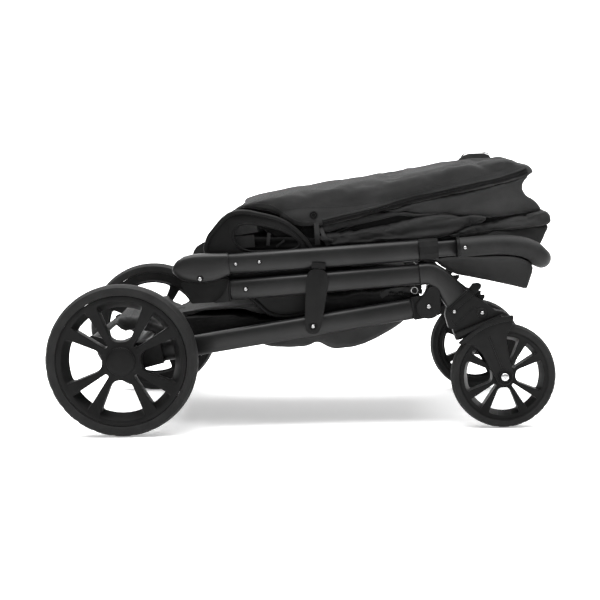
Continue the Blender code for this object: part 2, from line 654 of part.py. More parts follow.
def make_side_plate(side):
    """The rounded plate at the cabin's rear with its oval window and raised rim."""
    outline = frame_points([
        (-0.4310, 0.1173), (-0.4230, 0.1384), (-0.4131, 0.1518), (-0.3933, 0.1744), (-0.3738, 0.1857),
        (-0.3488, 0.1874), (-0.3277, 0.1832), (-0.2932, 0.1750), (-0.2703, 0.1651), (-0.2494, 0.1494),
        (-0.2300, 0.1285), (-0.2180, 0.1060), (-0.2230, 0.0700), (-0.2450, 0.0250), (-0.2813, -0.0120),
        (-0.3104, -0.0110), (-0.3372, 0.0119), (-0.3850, 0.0500), (-0.4200, 0.0850)])
    inner = side * PLATE_Y
    plate = finish(side_name("side_plate", side), slab(outline, inner, inner + side * PLATE_THICKNESS),
                   "gloss_plastic", BASE_PIVOT, inner)
    window = arc(BASE_PIVOT + Vector((-0.3478, 0.1390)), 0.0240, 100, 260, 7)
    window += frame_points([(-0.3050, 0.1090), (-0.2620, 0.1090), (-0.2440, 0.1190), (-0.2530, 0.1340),
                            (-0.2859, 0.1499), (-0.3186, 0.1580)])
    cut(plate, slab(window, inner - side * 0.01, inner + side * 0.03), "window")
    hub = turned([(0.004, inner - side * 0.0095), (0.004, inner + side * 0.004)], CANOPY_HUB, 14)
    join(plate, hub, "hub_pin")
    foot = [(0.011, inner + side * 0.002), (0.011, side * (FRAME_Y - TUBE_WIDTH / 2 - FIT))]
    join(plate, turned(foot, front_point(0.160, 0), 18), "foot")


def make_soft(name, offsets, half_width, rounding, material="black_cloth"):
    """A closed soft solid with a side outline given from the base pivot."""
    soft = finish(name, slab(frame_points(offsets), -half_width, half_width), material, BASE_PIVOT, 0)
    return round_edges(soft, rounding, 2, 25)


def make_cabin():
    """The collapsed cabin, its front tub, the hood over it and the brim that hangs in front."""
    make_soft("cabin_tub", [
        (0.0350, 0.0690), (0.0613, 0.0525), (0.1059, 0.0440), (0.1756, 0.0310), (0.1931, 0.0270),
        (0.2030, 0.0570), (0.1760, 0.0780), (0.1500, 0.0875), (0.0350, 0.0900)], CABIN_HALF, 0.007)
    make_soft("cabin_body", [
        (-0.3940, 0.0900), (-0.2500, 0.0740), (0.0300, 0.0770), (0.0320, 0.0905), (0.1480, 0.0905),
        (0.1580, 0.0980), (0.1530, 0.1265), (-0.2000, 0.1335), (-0.3700, 0.1365)], HOOD_HALF, 0.008)
    make_soft("canopy_hood", [
        (-0.3520, 0.1890), (-0.3490, 0.1370), (-0.2000, 0.1340), (0.1556, 0.1270), (0.1556, 0.1760),
        (0.1300, 0.2320), (0.1040, 0.2725), (0.0683, 0.2700), (-0.0804, 0.2477), (-0.2552, 0.2226),
        (-0.3350, 0.2040)], HOOD_HALF, 0.008)
    make_soft("canopy_brim", [
        (0.1560, 0.1310), (0.1740, 0.1140), (0.2259, 0.1140), (0.2380, 0.1450), (0.2395, 0.1720),
        (0.2200, 0.1960), (0.1950, 0.2180), (0.2020, 0.2440), (0.1890, 0.2660), (0.1600, 0.2770),
        (0.1560, 0.1800)], CABIN_HALF, 0.007)
    make_soft("basket", [
        (-0.3300, -0.0520), (-0.3159, -0.0735), (-0.2275, -0.0760), (-0.1746, -0.0775), (-0.1392, -0.0760),
        (-0.1057, -0.0625), (-0.0800, -0.0470), (-0.0480, -0.0380), (-0.0420, 0.0000), (-0.0500, 0.0180),
        (-0.1900, 0.0160), (-0.2100, -0.0250), (-0.3200, -0.0300)], BASKET_HALF, 0.006, "black_mesh")


def make_canopy_bow():
    """A wire bow on the hub pins that lifts the hood, with a webbing tab on its middle."""
    cross = CANOPY_HUB + polar(BOW_REACH, BOW_ANGLE)
    y = PLATE_Y - 0.0045 - BOW_RADIUS
    corner = 0.014
    near = CANOPY_HUB + polar(BOW_REACH - corner, BOW_ANGLE)
    bend = [flat(near, y), flat(cross, y), flat(cross, y - corner)]
    turn = [bend[0].lerp(bend[1], t).lerp(bend[1].lerp(bend[2], t), t) for t in (0, 0.25, 0.5, 0.75, 1)]
    left = [flat(CANOPY_HUB + polar(0.009, BOW_ANGLE), y), *turn]
    right = [Vector((p.x, -p.y, p.z)) for p in reversed(left)]
    bow = finish("canopy_bow", swept(left + right, BOW_RADIUS, 10), "moulded_plastic", CANOPY_HUB, 0, 40)
    ring = [(0.011, y - BOW_RADIUS + 0.0006), (0.011, y + BOW_RADIUS - 0.0006)]
    join(bow, turned(ring, CANOPY_HUB, 18), "eye_left")
    join(bow, turned([(r, -offset) for r, offset in ring], CANOPY_HUB, 18), "eye_right")
    bore = 0.004 + BORE_FIT
    cut(bow, turned([(bore, -FRAME_Y), (bore, FRAME_Y)], CANOPY_HUB, 16), "eye_bore")
    low = cross.y + BOW_RADIUS + FIT
    centre = cross.x
    shape = [(centre - 0.050, low + 0.0005), (centre + 0.019, low + 0.0005), (centre + 0.015, low + 0.0120),
             (centre + 0.006, low + 0.0175), (centre - 0.030, low + 0.0165), (centre - 0.044, low + 0.0090)]
    tab = finish("canopy_tab", slab(shape, -0.014, 0.014), "webbing", CANOPY_HUB, 0)
    round_edges(tab, 0.002)


def build():
    for old in list(bpy.data.objects):
        bpy.data.objects.remove(old)
    make_axle()
    make_cross_tube("base_cross_tube", base_point(BASE_LENGTH - BRACKET_LENGTH - 0.045, 0), 0.010, FIT)
    make_cross_tube("front_cross_tube", BASE_PIVOT + Vector((0.001, 0.0672)), 0.009, 0.002 + FIT)
    make_brake()
    for side in (1, -1):
        make_base(side)
        make_rear_wheel(side)
        make_front_frame(side)
        make_handle(side)
        make_caster(side)
        make_side_plate(side)
    make_grip()
    make_latch()
    make_cabin()
    make_canopy_bow()


build()
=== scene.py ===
import json
import math

import bmesh
import bpy
from mathutils import Matrix, Vector, noise
from mathutils.bvhtree import BVHTree


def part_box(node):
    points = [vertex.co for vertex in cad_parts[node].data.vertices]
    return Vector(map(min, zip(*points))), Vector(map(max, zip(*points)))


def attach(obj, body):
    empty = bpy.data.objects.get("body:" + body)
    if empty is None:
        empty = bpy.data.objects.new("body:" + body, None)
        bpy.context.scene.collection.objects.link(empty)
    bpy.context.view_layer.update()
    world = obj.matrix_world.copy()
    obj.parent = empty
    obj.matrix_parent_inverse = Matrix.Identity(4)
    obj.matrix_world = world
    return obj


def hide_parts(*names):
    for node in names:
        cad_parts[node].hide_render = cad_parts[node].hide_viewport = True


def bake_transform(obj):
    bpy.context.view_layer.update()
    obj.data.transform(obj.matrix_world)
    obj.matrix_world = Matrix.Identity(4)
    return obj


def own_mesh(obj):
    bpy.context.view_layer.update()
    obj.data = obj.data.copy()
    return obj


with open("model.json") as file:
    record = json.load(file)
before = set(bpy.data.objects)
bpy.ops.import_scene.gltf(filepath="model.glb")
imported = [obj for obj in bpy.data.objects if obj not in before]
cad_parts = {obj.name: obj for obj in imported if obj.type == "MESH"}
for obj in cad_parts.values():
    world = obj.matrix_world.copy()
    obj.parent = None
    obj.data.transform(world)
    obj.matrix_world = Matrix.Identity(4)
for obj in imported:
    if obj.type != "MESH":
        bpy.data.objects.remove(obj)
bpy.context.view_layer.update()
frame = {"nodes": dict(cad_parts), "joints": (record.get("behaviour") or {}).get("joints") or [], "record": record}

# ---------------------------------------------------------------- places from the frame
JOINTS = {joint["name"]: joint for joint in frame["joints"]}


def joint_place(name):
    """A joint's point in the side elevation, as (x, z)."""
    x, _, z = JOINTS[name]["pos_m"]
    return Vector((x, z))


BASE_PIVOT = joint_place("front_fold")
KNUCKLE = joint_place("handle_unfold")
HUB = joint_place("canopy_open")
REAR_AXLE = joint_place("rear_wheel_left_spin")
FRONT_AXLE = joint_place("front_wheel_left_spin")
LATCH = joint_place("latch_release")
SWIVEL = joint_place("caster_left_swivel")
SWIVEL_UP = Vector((JOINTS["caster_left_swivel"]["axis"][0], JOINTS["caster_left_swivel"]["axis"][2]))
SWIVEL_ALONG = Vector((SWIVEL_UP.y, -SWIVEL_UP.x))
FRAME_Y = abs(JOINTS["caster_left_swivel"]["pos_m"][1])
REAR_Y = abs(JOINTS["rear_wheel_left_spin"]["pos_m"][1])
REAR_RADIUS = (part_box("rear_tyre_left")[1].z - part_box("rear_tyre_left")[0].z) / 2
FRONT_RADIUS = (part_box("front_tyre_left")[1].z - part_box("front_tyre_left")[0].z) / 2
REAR_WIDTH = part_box("rear_tyre_left")[1].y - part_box("rear_tyre_left")[0].y
FRONT_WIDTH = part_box("front_tyre_left")[1].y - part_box("front_tyre_left")[0].y
TUBE_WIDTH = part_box("handle_tube_left")[1].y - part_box("handle_tube_left")[0].y
TUBE_HEIGHT = 0.04
TUBE_FACE = FRAME_Y + TUBE_WIDTH / 2
HANDLE_ANGLE = math.atan2(JOINTS["handle_extend"]["axis"][2], JOINTS["handle_extend"]["axis"][0])
FRONT_ANGLE = math.radians(4.0)
FIT = 0.0003


def polar(length, angle):
    return Vector((math.cos(angle), math.sin(angle))) * length


def arc(centre, radius, start, end, count):
    step = (end - start) / (count - 1)
    return [Vector(centre) + polar(radius, math.radians(start + step * i)) for i in range(count)]


def at(dx, dz):
    """A side-elevation point given from the base pivot."""
    return BASE_PIVOT + Vector((dx, dz))


def tilted(forward, up, angle):
    along = polar(1, angle)
    return KNUCKLE + along * forward + Vector((-along.y, along.x)) * up


def handle_at(forward, up):
    return tilted(forward, TUBE_HEIGHT / 2 + 0.0033 + up, HANDLE_ANGLE)


def front_at(forward, up):
    return tilted(forward, up - TUBE_HEIGHT / 2 - 0.0067, FRONT_ANGLE)


BASE_BACK = (REAR_AXLE - BASE_PIVOT).normalized()
BASE_UP = Vector((BASE_BACK.y, -BASE_BACK.x))
BASE_LENGTH = (REAR_AXLE - BASE_PIVOT).length


def base_at(back, up):
    return BASE_PIVOT + BASE_BACK * back + BASE_UP * up


def caster_at(across, up):
    return SWIVEL + SWIVEL_ALONG * across + SWIVEL_UP * up


def flat(point, y):
    return Vector((point[0], y, point[1]))


# ---------------------------------------------------------------- materials
class Recipe:
    """A node material built up from a Principled shader."""

    def __init__(self, name, roughness, metallic=0.0):
        self.material = bpy.data.materials.new(name)
        self.material.use_nodes = True
        self.nodes = self.material.node_tree.nodes
        self.links = self.material.node_tree.links
        self.shader = self.nodes["Principled BSDF"]
        self.shader.inputs["Roughness"].default_value = roughness
        self.shader.inputs["Metallic"].default_value = metallic
        self.place = self.nodes.new("ShaderNodeTexCoord").outputs["Object"]

    def noise(self, scale, detail=3.0, roughness=0.55):
        node = self.nodes.new("ShaderNodeTexNoise")
        node.inputs["Scale"].default_value = scale
        node.inputs["Detail"].default_value = detail
        node.inputs["Roughness"].default_value = roughness
        self.links.new(self.place, node.inputs["Vector"])
        return node.outputs["Fac"]

    def bands(self, scale, axis, distortion=0.0):
        node = self.nodes.new("ShaderNodeTexWave")
        node.bands_direction = axis
        node.inputs["Scale"].default_value = scale
        node.inputs["Distortion"].default_value = distortion
        self.links.new(self.place, node.inputs["Vector"])
        return node.outputs["Fac"]

    def cells(self, scale):
        node = self.nodes.new("ShaderNodeTexVoronoi")
        node.inputs["Scale"].default_value = scale
        self.links.new(self.place, node.inputs["Vector"])
        return node.outputs["Distance"]

    def math(self, operation, first, second):
        node = self.nodes.new("ShaderNodeMath")
        node.operation = operation
        for slot, value in zip(node.inputs, (first, second)):
            if isinstance(value, (int, float)):
                slot.default_value = value
            else:
                self.links.new(value, slot)
        return node.outputs[0]

    def colour(self, fac, low, high, start=0.3, end=0.7):
        ramp = self.nodes.new("ShaderNodeValToRGB")
        ramp.color_ramp.elements[0].position = start
        ramp.color_ramp.elements[1].position = end
        ramp.color_ramp.elements[0].color = (*low, 1)
        ramp.color_ramp.elements[1].color = (*high, 1)
        self.links.new(fac, ramp.inputs["Fac"])
        self.links.new(ramp.outputs["Color"], self.shader.inputs["Base Color"])

    def roughen(self, fac, low, high):
        node = self.nodes.new("ShaderNodeMapRange")
        node.inputs["To Min"].default_value = low
        node.inputs["To Max"].default_value = high
        self.links.new(fac, node.inputs["Value"])
        self.links.new(node.outputs["Result"], self.shader.inputs["Roughness"])

    def bump(self, height, strength, distance, after=None):
        node = self.nodes.new("ShaderNodeBump")
        node.inputs["Strength"].default_value = strength
        node.inputs["Distance"].default_value = distance
        self.links.new(height, node.inputs["Height"])
        if after is not None:
            self.links.new(after, node.inputs["Normal"])
        self.links.new(node.outputs["Normal"], self.shader.inputs["Normal"])
        return node.outputs["Normal"]

    def shine(self, level):
        self.shader.inputs["Specular IOR Level"].default_value = level

    def sheen(self, weight, roughness):
        self.shader.inputs["Sheen Weight"].default_value = weight
        self.shader.inputs["Sheen Roughness"].default_value = roughness


def grey(value, warm=0.0):
    return (value * (1 + warm), value, value * (1 - warm))


def powder_coat():
    recipe = Recipe("anodised_tube", 0.38, 0.0)
    recipe.shine(0.23)
    recipe.colour(recipe.noise(14, 4), grey(0.005), grey(0.009))
    recipe.roughen(recipe.noise(60, 5), 0.3, 0.42)
    recipe.bump(recipe.noise(1400, 2), 0.1, 0.0002)
    return recipe.material


def moulded(name, low, high, rough_low, rough_high, grain):
    """Injection-moulded nylon with a fine spark-eroded grain."""
    recipe = Recipe(name, rough_low)
    recipe.shine(0.08)
    recipe.colour(recipe.noise(24, 5), grey(low), grey(high))
    recipe.roughen(recipe.noise(90, 4), rough_low, rough_high)
    recipe.bump(recipe.cells(grain), 0.16, 0.00018)
    return recipe.material


def tyre_rubber():
    recipe = Recipe("tyre_rubber", 0.72)
    recipe.shine(0.1)
    recipe.colour(recipe.noise(30, 6, 0.65), grey(0.01), grey(0.016))
    recipe.roughen(recipe.noise(70, 5), 0.6, 0.8)
    recipe.bump(recipe.noise(900, 4), 0.2, 0.0002)
    return recipe.material


def grip_foam():
    recipe = Recipe("grip_foam", 0.6)
    recipe.shine(0.18)
    recipe.colour(recipe.noise(40, 6, 0.7), grey(0.008), grey(0.013))
    recipe.roughen(recipe.noise(300, 3), 0.5, 0.68)
    fine = recipe.bump(recipe.cells(1100), 0.3, 0.0003)
    recipe.bump(recipe.noise(60, 3), 0.1, 0.0006, fine)
    return recipe.material


def bright_steel():
    recipe = Recipe("bright_steel", 0.25, 1.0)
    recipe.colour(recipe.noise(200, 3), grey(0.3), grey(0.42))
    recipe.roughen(recipe.noise(500, 4), 0.18, 0.34)
    return recipe.material


def polished_steel():
    recipe = Recipe("polished_steel", 0.16, 1.0)
    recipe.colour(recipe.noise(200, 3), grey(0.62), grey(0.74))
    recipe.roughen(recipe.noise(500, 4), 0.12, 0.24)
    return recipe.material


def woven(name, low, high, pitch, strength, roughness=0.88, sheen=0.04):
    """Plain-woven polyester: threads both ways, slight slubs and tone variation."""
    recipe = Recipe(name, roughness)
    recipe.shine(0.06)
    recipe.sheen(sheen, 0.5)
    recipe.colour(recipe.noise(9, 6, 0.6), grey(low), grey(high))
    scale = 1 / pitch / 3.1416
    warp = recipe.math("MULTIPLY", recipe.bands(scale, "X", 0.4), recipe.bands(scale, "Z", 0.4))
    weft = recipe.bands(scale, "Y", 0.4)
    threads = recipe.math("ADD", warp, weft)
    fine = recipe.bump(threads, strength, 0.0003)
    recipe.bump(recipe.noise(120, 5, 0.7), 0.22, 0.0012, fine)
    return recipe.material


def webbing():
    recipe = Recipe("webbing", 0.8)
    recipe.shine(0.08)
    recipe.sheen(0.04, 0.4)
    recipe.colour(recipe.noise(40, 4), grey(0.02), grey(0.034))
    ribs = recipe.bands(260, "DIAGONAL")
    recipe.bump(ribs, 0.6, 0.0004)
    return recipe.material


# The second, darker copy of the black cloth (same weave, about a quarter of its brightness) is painted shade, for
# cloth seen in shade inside the hood, the cabin and behind the side plate's window.
MATERIALS = {"anodised_tube": powder_coat(), "moulded_plastic": moulded("moulded_plastic", 0.006, 0.01,
    0.42, 0.56, 1500), "wheel_plastic": moulded("wheel_plastic", 0.004, 0.007, 0.4, 0.52, 1300),
    "gloss_plastic": moulded("gloss_plastic", 0.002, 0.005, 0.28, 0.4, 2200), "tyre_rubber": tyre_rubber(),
    "grip_foam": grip_foam(), "bright_steel": bright_steel(), "polished_steel": polished_steel(),
    "black_cloth": woven("black_cloth", 0.018, 0.031, 0.0011, 0.35), "shaded_cloth": woven("shaded_cloth",
    0.004, 0.008, 0.0011, 0.35), "zip_tape": woven("zip_tape", 0.006, 0.01, 0.0009, 0.5, 0.9, 0.02),
    "black_mesh": woven("black_mesh", 0.004, 0.016, 0.0026, 0.9, 0.95, 0.02), "webbing": webbing(),}


def dress_frame():
    """Give each carried-over CAD node the node material of its record slot."""
    slots = {part["node"]: part["material_slot"] for part in frame["record"]["subparts"]}
    for name, node in frame["nodes"].items():
        for index in range(max(1, len(node.material_slots))):
            if node.material_slots:
                node.material_slots[index].material = MATERIALS[slots[name]]


# ---------------------------------------------------------------- mesh tools
def loft(rings, ring_closed=False, filled=True):
    mesh = bmesh.new()
    loops = [[mesh.verts.new(point) for point in ring] for ring in rings]
    pairs = list(zip(loops, loops[1:]))
    if ring_closed:
        pairs.append((loops[-1], loops[0]))
    elif filled:
        mesh.faces.new(loops[0])
        mesh.faces.new(loops[-1])
    for first, second in pairs:
        for i in range(len(first)):
            j = (i + 1) % len(first)
            mesh.faces.new((first[i], first[j], second[j], second[i]))
    bmesh.ops.recalc_face_normals(mesh, faces=mesh.faces)
    return mesh


def slab(outline, y_from, y_to):
    return loft([[flat(p, y) for p in outline] for y in sorted((y_from, y_to))])


def turned(profile, centre, steps, bored=False):
    rings = []
    for radius, y in profile:
        rings.append([flat(p, y) for p in arc(centre, radius, 0, 360 - 360 / steps, steps)])
    return loft(rings, ring_closed=bored)


def swept(path, radius, sides):
    """A round bar along a path; a number or a function of the share along it gives its radius."""
    rings = []
    facing = (path[1] - path[0]).normalized()
    across = facing.orthogonal().normalized()
    for i, point in enumerate(path):
        heading = (path[min(i + 1, len(path) - 1)] - path[max(i - 1, 0)]).normalized()
        across = facing.rotation_difference(heading) @ across
        facing = heading
        lift = facing.cross(across)
        size = radius(i / (len(path) - 1)) if callable(radius) else radius
        turn = [2 * math.pi * k / sides for k in range(sides)]
        rings.append([point + (across * math.cos(a) + lift * math.sin(a)) * size for a in turn])
    return loft(rings)


def smooth_path(points, count):
    """Evenly counted points on a Catmull-Rom curve through the given ones."""
    ends = [points[0] * 2 - points[1], *points, points[-1] * 2 - points[-2]]
    result = []
    for k in range(count):
        place = k / (count - 1) * (len(points) - 1)
        i = min(int(place), len(points) - 2)
        t = place - i
        a, b, c, d = ends[i:i + 4]
        result.append(0.5 * ((2 * b) + (c - a) * t + (2 * a - 5 * b + 4 * c - d) * t * t
                             + (3 * b - a - 3 * c + d) * t ** 3))
    return result


def make(name, mesh, material, body, smooth=35, stands_for=()):
    """Turn a bmesh into a piece that rides on a body."""
    data = bpy.data.meshes.new(name)
    mesh.to_mesh(data)
    mesh.free()
    return adopt(bpy.data.objects.new(name, data), material, body, smooth, stands_for)


def adopt(piece, material, body, smooth=35, stands_for=()):
    if piece.name not in bpy.context.scene.collection.all_objects:
        bpy.context.scene.collection.objects.link(piece)
    piece.data.materials.clear()
    piece.data.materials.append(MATERIALS[material])
    piece.data.shade_smooth()
    if smooth:
        piece.data.set_sharp_from_angle(angle=math.radians(smooth))
    if body:
        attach(piece, body)
    if stands_for:
        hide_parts(*stands_for)
    return piece


def make_side(name, side, mesh, material, body, smooth=35, node=None):
    """A left or right piece, which may stand for the CAD node of that side."""
    stands_for = (side_name(node, side),) if node else ()
    return make(side_name(name, side), mesh, material, body, smooth, stands_for)


def settle(piece):
    """Replace a piece's mesh by its evaluated one and drop the modifiers."""
    depsgraph = bpy.context.evaluated_depsgraph_get()
    data = bpy.data.meshes.new_from_object(piece.evaluated_get(depsgraph))
    piece.modifiers.clear()
    old = piece.data
    piece.data = data
    bpy.data.meshes.remove(old)
    return piece


def bevelled(mesh, width, segments=2, angle=35):
    """Round the sharp edges of a bmesh through a temporary object."""
    data = bpy.data.meshes.new("bevel")
    mesh.to_mesh(data)
    mesh.free()
    holder = bpy.data.objects.new("bevel", data)
    bpy.context.scene.collection.objects.link(holder)
    step = holder.modifiers.new("bevel", "BEVEL")
    step.width = width
    step.segments = segments
    step.limit_method = "ANGLE"
    step.angle_limit = math.radians(angle)
    step.harden_normals = False
    return release(holder)


def release(holder):
    """The evaluated mesh of a temporary object, as a bmesh."""
    settle(holder)
    result = bmesh.new()
    result.from_mesh(holder.data)
    data = holder.data
    bpy.data.objects.remove(holder)
    bpy.data.meshes.remove(data)
    return result


def combined(mesh, others, operation):
    """Boolean of a bmesh with several others."""
    holders = []
    for part in [mesh, *others]:
        data = bpy.data.meshes.new("part")
        part.to_mesh(data)
        part.free()
        holder = bpy.data.objects.new("part", data)
        bpy.context.scene.collection.objects.link(holder)
        holders.append(holder)
    main = holders[0]
    for other in holders[1:]:
        step = main.modifiers.new("step", "BOOLEAN")
        step.operation = operation
        step.solver = "EXACT"
        step.object = other
    result = release(main)
    for other in holders[1:]:
        data = other.data
        bpy.data.objects.remove(other)
        bpy.data.meshes.remove(data)
    return result


def side_name(name, side):
    return f"{name}_{'left' if side > 0 else 'right'}"


SIDES = (1, -1)


# ---------------------------------------------------------------- wheels
def rounded_outline(corners, radius, count=4):
    """A closed outline with each corner rounded by its own radius."""
    result = []
    total = len(corners)
    for i, (corner, size) in enumerate(zip(corners, radius)):
        before = corners[i - 1] - corner
        after = corners[(i + 1) % total] - corner
        size = min(size, before.length * 0.45, after.length * 0.45)
        start, end = corner + before.normalized() * size, corner + after.normalized() * size
        for k in range(count + 1):
            t = k / count
            result.append(start.lerp(corner, t).lerp(corner.lerp(end, t), t))
    return result


def window_outline(middle, inner, outer, half_in, half_out, rim_points=7):
    """One spoke window about the hub, its outer side an arc."""
    rim = [polar(outer,
        math.radians(middle + half_out * (1 - 2 * k / (rim_points - 1)))) for k in range(rim_points)]
    hub = [polar(inner, math.radians(middle - half_in)), polar(inner, math.radians(middle + half_in))]
    corner = outer * 0.075
    return rounded_outline([*rim, *hub],
        [corner] + [outer * 0.03] * (rim_points - 2) + [corner] + [inner * 0.34] * 2)


def spoked_rim(name, side, centre, y, sizes, body):
    """A moulded rim: dished windows in four pairs of spokes, hub boss and a bead groove."""
    seat, half, hub_radius, hub_half, bore, window_in, window_out = sizes
    face = half * 0.93
    profile = [(bore, -hub_half), (hub_radius, -hub_half), (hub_radius + 0.002, -0.006),
        (window_out + 0.002, -0.008), (window_out + 0.006, -half * 0.9), (seat - 0.001, -half * 0.92),
        (seat, -half * 0.88), (seat, half * 0.88), (seat - 0.001, face + 0.0006),
        (window_out + 0.015, face + 0.001), (window_out + 0.011, face), (hub_radius * 1.6, face - 0.0006),
        (hub_radius + 0.001, face - 0.001), (hub_radius, hub_half), (bore, hub_half)]
    flare = (seat - window_out) * 0.55
    placed = [(r, y + side * v) for r, v in profile]
    body_mesh = turned(placed, centre, 120, True)
    cutters = []
    for quarter in range(4):
        for middle, inner, half_in, half_out in ((0, window_in * 0.97, 24.0, 22.6),
                (45, window_in * 0.9, 4.5, 9.6)):
            angle = 90 * quarter + middle
            back = window_outline(angle, inner, window_out, half_in, half_out)
            front = window_outline(angle, inner - 0.0018, window_out + flare, half_in + 1.2, half_out + 0.4)
            rings = [[flat(centre + p, y - side * (half + 0.01)) for p in back],
                [flat(centre + p, y - side * 0.004) for p in back], [flat(centre + p,
                y + side * (face + 0.0006)) for p in front], [flat(centre + p,
                y + side * (face + 0.02)) for p in front]]
            cutters.append(loft(rings))
    rim = combined(body_mesh, cutters, "DIFFERENCE")
    rim = bevelled(rim, 0.0012, 2, 28)
    return make_side(name, side, rim, "wheel_plastic", body, 30, name.replace("_face", ""))


def treaded_tyre(name, side, centre, y, radius, width, height, body):
    """A solid tyre with a rounded section, a bead line and cut tread blocks."""
    inner = radius - height + FIT
    half = width / 2
    half_section = [(inner, 0.76), (inner + height * 0.05, 0.8), (inner + height * 0.22, 0.87),
        (inner + height * 0.26, 0.865), (inner + height * 0.52, 0.97), (inner + height * 0.72, 0.93),
        (radius - 0.0035, 0.74), (radius - 0.0012, 0.52), (radius, 0.28)]
    section = [(r, -share) for r, share in half_section] + [(radius, 0.0)] + half_section[::-1]
    steps = 216
    pitch = 9
    rings = []
    for k in range(steps):
        angle = 2 * math.pi * k / steps
        ring = []
        for r, share in section:
            depth = 0.0
            if r > radius - 0.004:
                phase = (k + share * 7) % pitch
                depth = 0.0008 if phase < 1.6 and abs(share) > 0.2 else 0.0
                depth = max(depth, 0.0009 if abs(share) == 0.28 else 0.0)
            point = Vector(centre) + polar(r - depth, angle)
            ring.append(flat(point, y + share * half))
        rings.append(ring)
    mesh = loft(rings, ring_closed=True)
    return make_side(name, side, mesh, "tyre_rubber", body, 50, name.replace("_tread", ""))


def build_wheels():
    for side in SIDES:
        y = side * REAR_Y
        body = side_name("rear_wheel", side)
        height = 0.021
        spoked_rim("rear_rim_face", side, REAR_AXLE, y, (REAR_RADIUS - height, REAR_WIDTH / 2 - 0.004,
            0.027, REAR_WIDTH / 2 - 0.004, 0.0064, 0.043, 0.101), body)
        treaded_tyre("rear_tyre_tread", side, REAR_AXLE, y, REAR_RADIUS, REAR_WIDTH, height, body)
        face = y + side * (REAR_WIDTH / 2 - 0.004 + FIT)
        cap = [(0.0264, face), (0.0264, face + side * 0.0016), (0.0256, face + side * 0.0024),
            (0.018, face + side * 0.0032), (0.006, face + side * 0.0036)]
        make_side("rear_hub_cap_dome", side, turned(cap, REAR_AXLE, 64), "wheel_plastic", body, 40,
            "rear_hub_cap")
        y = side * FRAME_Y
        body = side_name("front_wheel", side)
        height = 0.0175
        spoked_rim("front_rim_face", side, FRONT_AXLE, y, (FRONT_RADIUS - height, FRONT_WIDTH / 2 - 0.002,
            0.0155, FRONT_WIDTH / 2 + 0.0035, 0.0044, 0.027, 0.069), body)
        treaded_tyre("front_tyre_tread", side, FRONT_AXLE, y, FRONT_RADIUS, FRONT_WIDTH, height, body)


# ---------------------------------------------------------------- frame mouldings
def oval_ring(centre, up, y, height, width, count=36, power=2.5):
    """A soft-cornered oval across a tube, flatter at its sides than an ellipse."""
    ring = []
    for k in range(count):
        angle = 2 * math.pi * k / count
        c, s = math.cos(angle), math.sin(angle)
        rise = math.copysign(abs(s) ** (2 / power), s) * height / 2
        out = math.copysign(abs(c) ** (2 / power), c) * width / 2
        ring.append(flat(centre + up * rise, y + out))
    return ring


def oval_run(stations, y, count=36, power=2.5):
    """An oval bar through side points, each with its height and width."""
    rings = []
    for i, (point, height, width) in enumerate(stations):
        heading = (stations[min(i + 1, len(stations) - 1)][0] - stations[max(i - 1, 0)][0]).normalized()
        up = Vector((-heading.y, heading.x))
        rings.append(oval_ring(point, up, y, height, width, count, power))
    return loft(rings)


def tube_run(name, start, end, side, body, node, height=TUBE_HEIGHT, width=TUBE_WIDTH):
    lip = (end - start).normalized() * 0.0008
    stations = [(start, height - 0.0016, width - 0.0016), (start + lip, height, width),
        (end - lip, height, width), (end, height - 0.0016, width - 0.0016)]
    make_side(name, side, oval_run(stations, side * FRAME_Y), "anodised_tube", body, 50, node)


def dome_screw(name, point, y, side, body, radius=0.0045, material="bright_steel", socket=True):
    """A button-head screw standing on a side face, with a recess in its head."""
    radius *= 0.86
    profile = [(radius * 1.05, y - side * 0.001), (radius * 1.05, y + side * 0.0006),
        (radius, y + side * 0.0012), (radius * 0.82, y + side * 0.0024), (radius * 0.5, y + side * 0.003)]
    if socket:
        profile += [(radius * 0.44, y + side * 0.003), (radius * 0.4, y + side * 0.0016)]
    make(name, turned(profile, point, 28), material, body, 40)
    seat = [(radius * 1.5, y - side * 0.001), (radius * 1.5, y + side * 0.0005),
        (radius * 1.16, y + side * 0.0009)]
    make(f"{name}_ring", turned(seat, point, 28), "gloss_plastic", body, 40)


def build_tubes():
    seam = 0.0556
    for side in SIDES:
        handle_end = seam + 0.3645
        front_end = seam + 0.362
        tube_run("handle_tube_oval", handle_at(seam, 0), handle_at(handle_end, 0), side, "handle",
            "handle_tube")
        tube_run("front_tube_oval", front_at(seam, 0), front_at(front_end, 0), side, "front_frame",
            "front_tube")
        tube_run("base_tube_oval", base_at(0.0315, 0), base_at(BASE_LENGTH - 0.075, 0), side, "base_frame",
            "base_tube")
        tube_run("inner_tube_oval", handle_at(0.2422, 0), handle_at(0.4922, 0), side, "grip", "inner_tube",
            0.03, 0.0155)
        outside = side * (TUBE_FACE - 0.0002)
        for i, (forward, up) in enumerate(((0.07, 0.0), (0.115, 0.001))):
            dome_screw(side_name(f"handle_rivet_{i}", side), handle_at(forward, up), outside, side,
                "handle", 0.0034)
        dome_screw(side_name("front_rivet", side), front_at(0.085, 0.0), outside, side, "front_frame",
            0.0042)


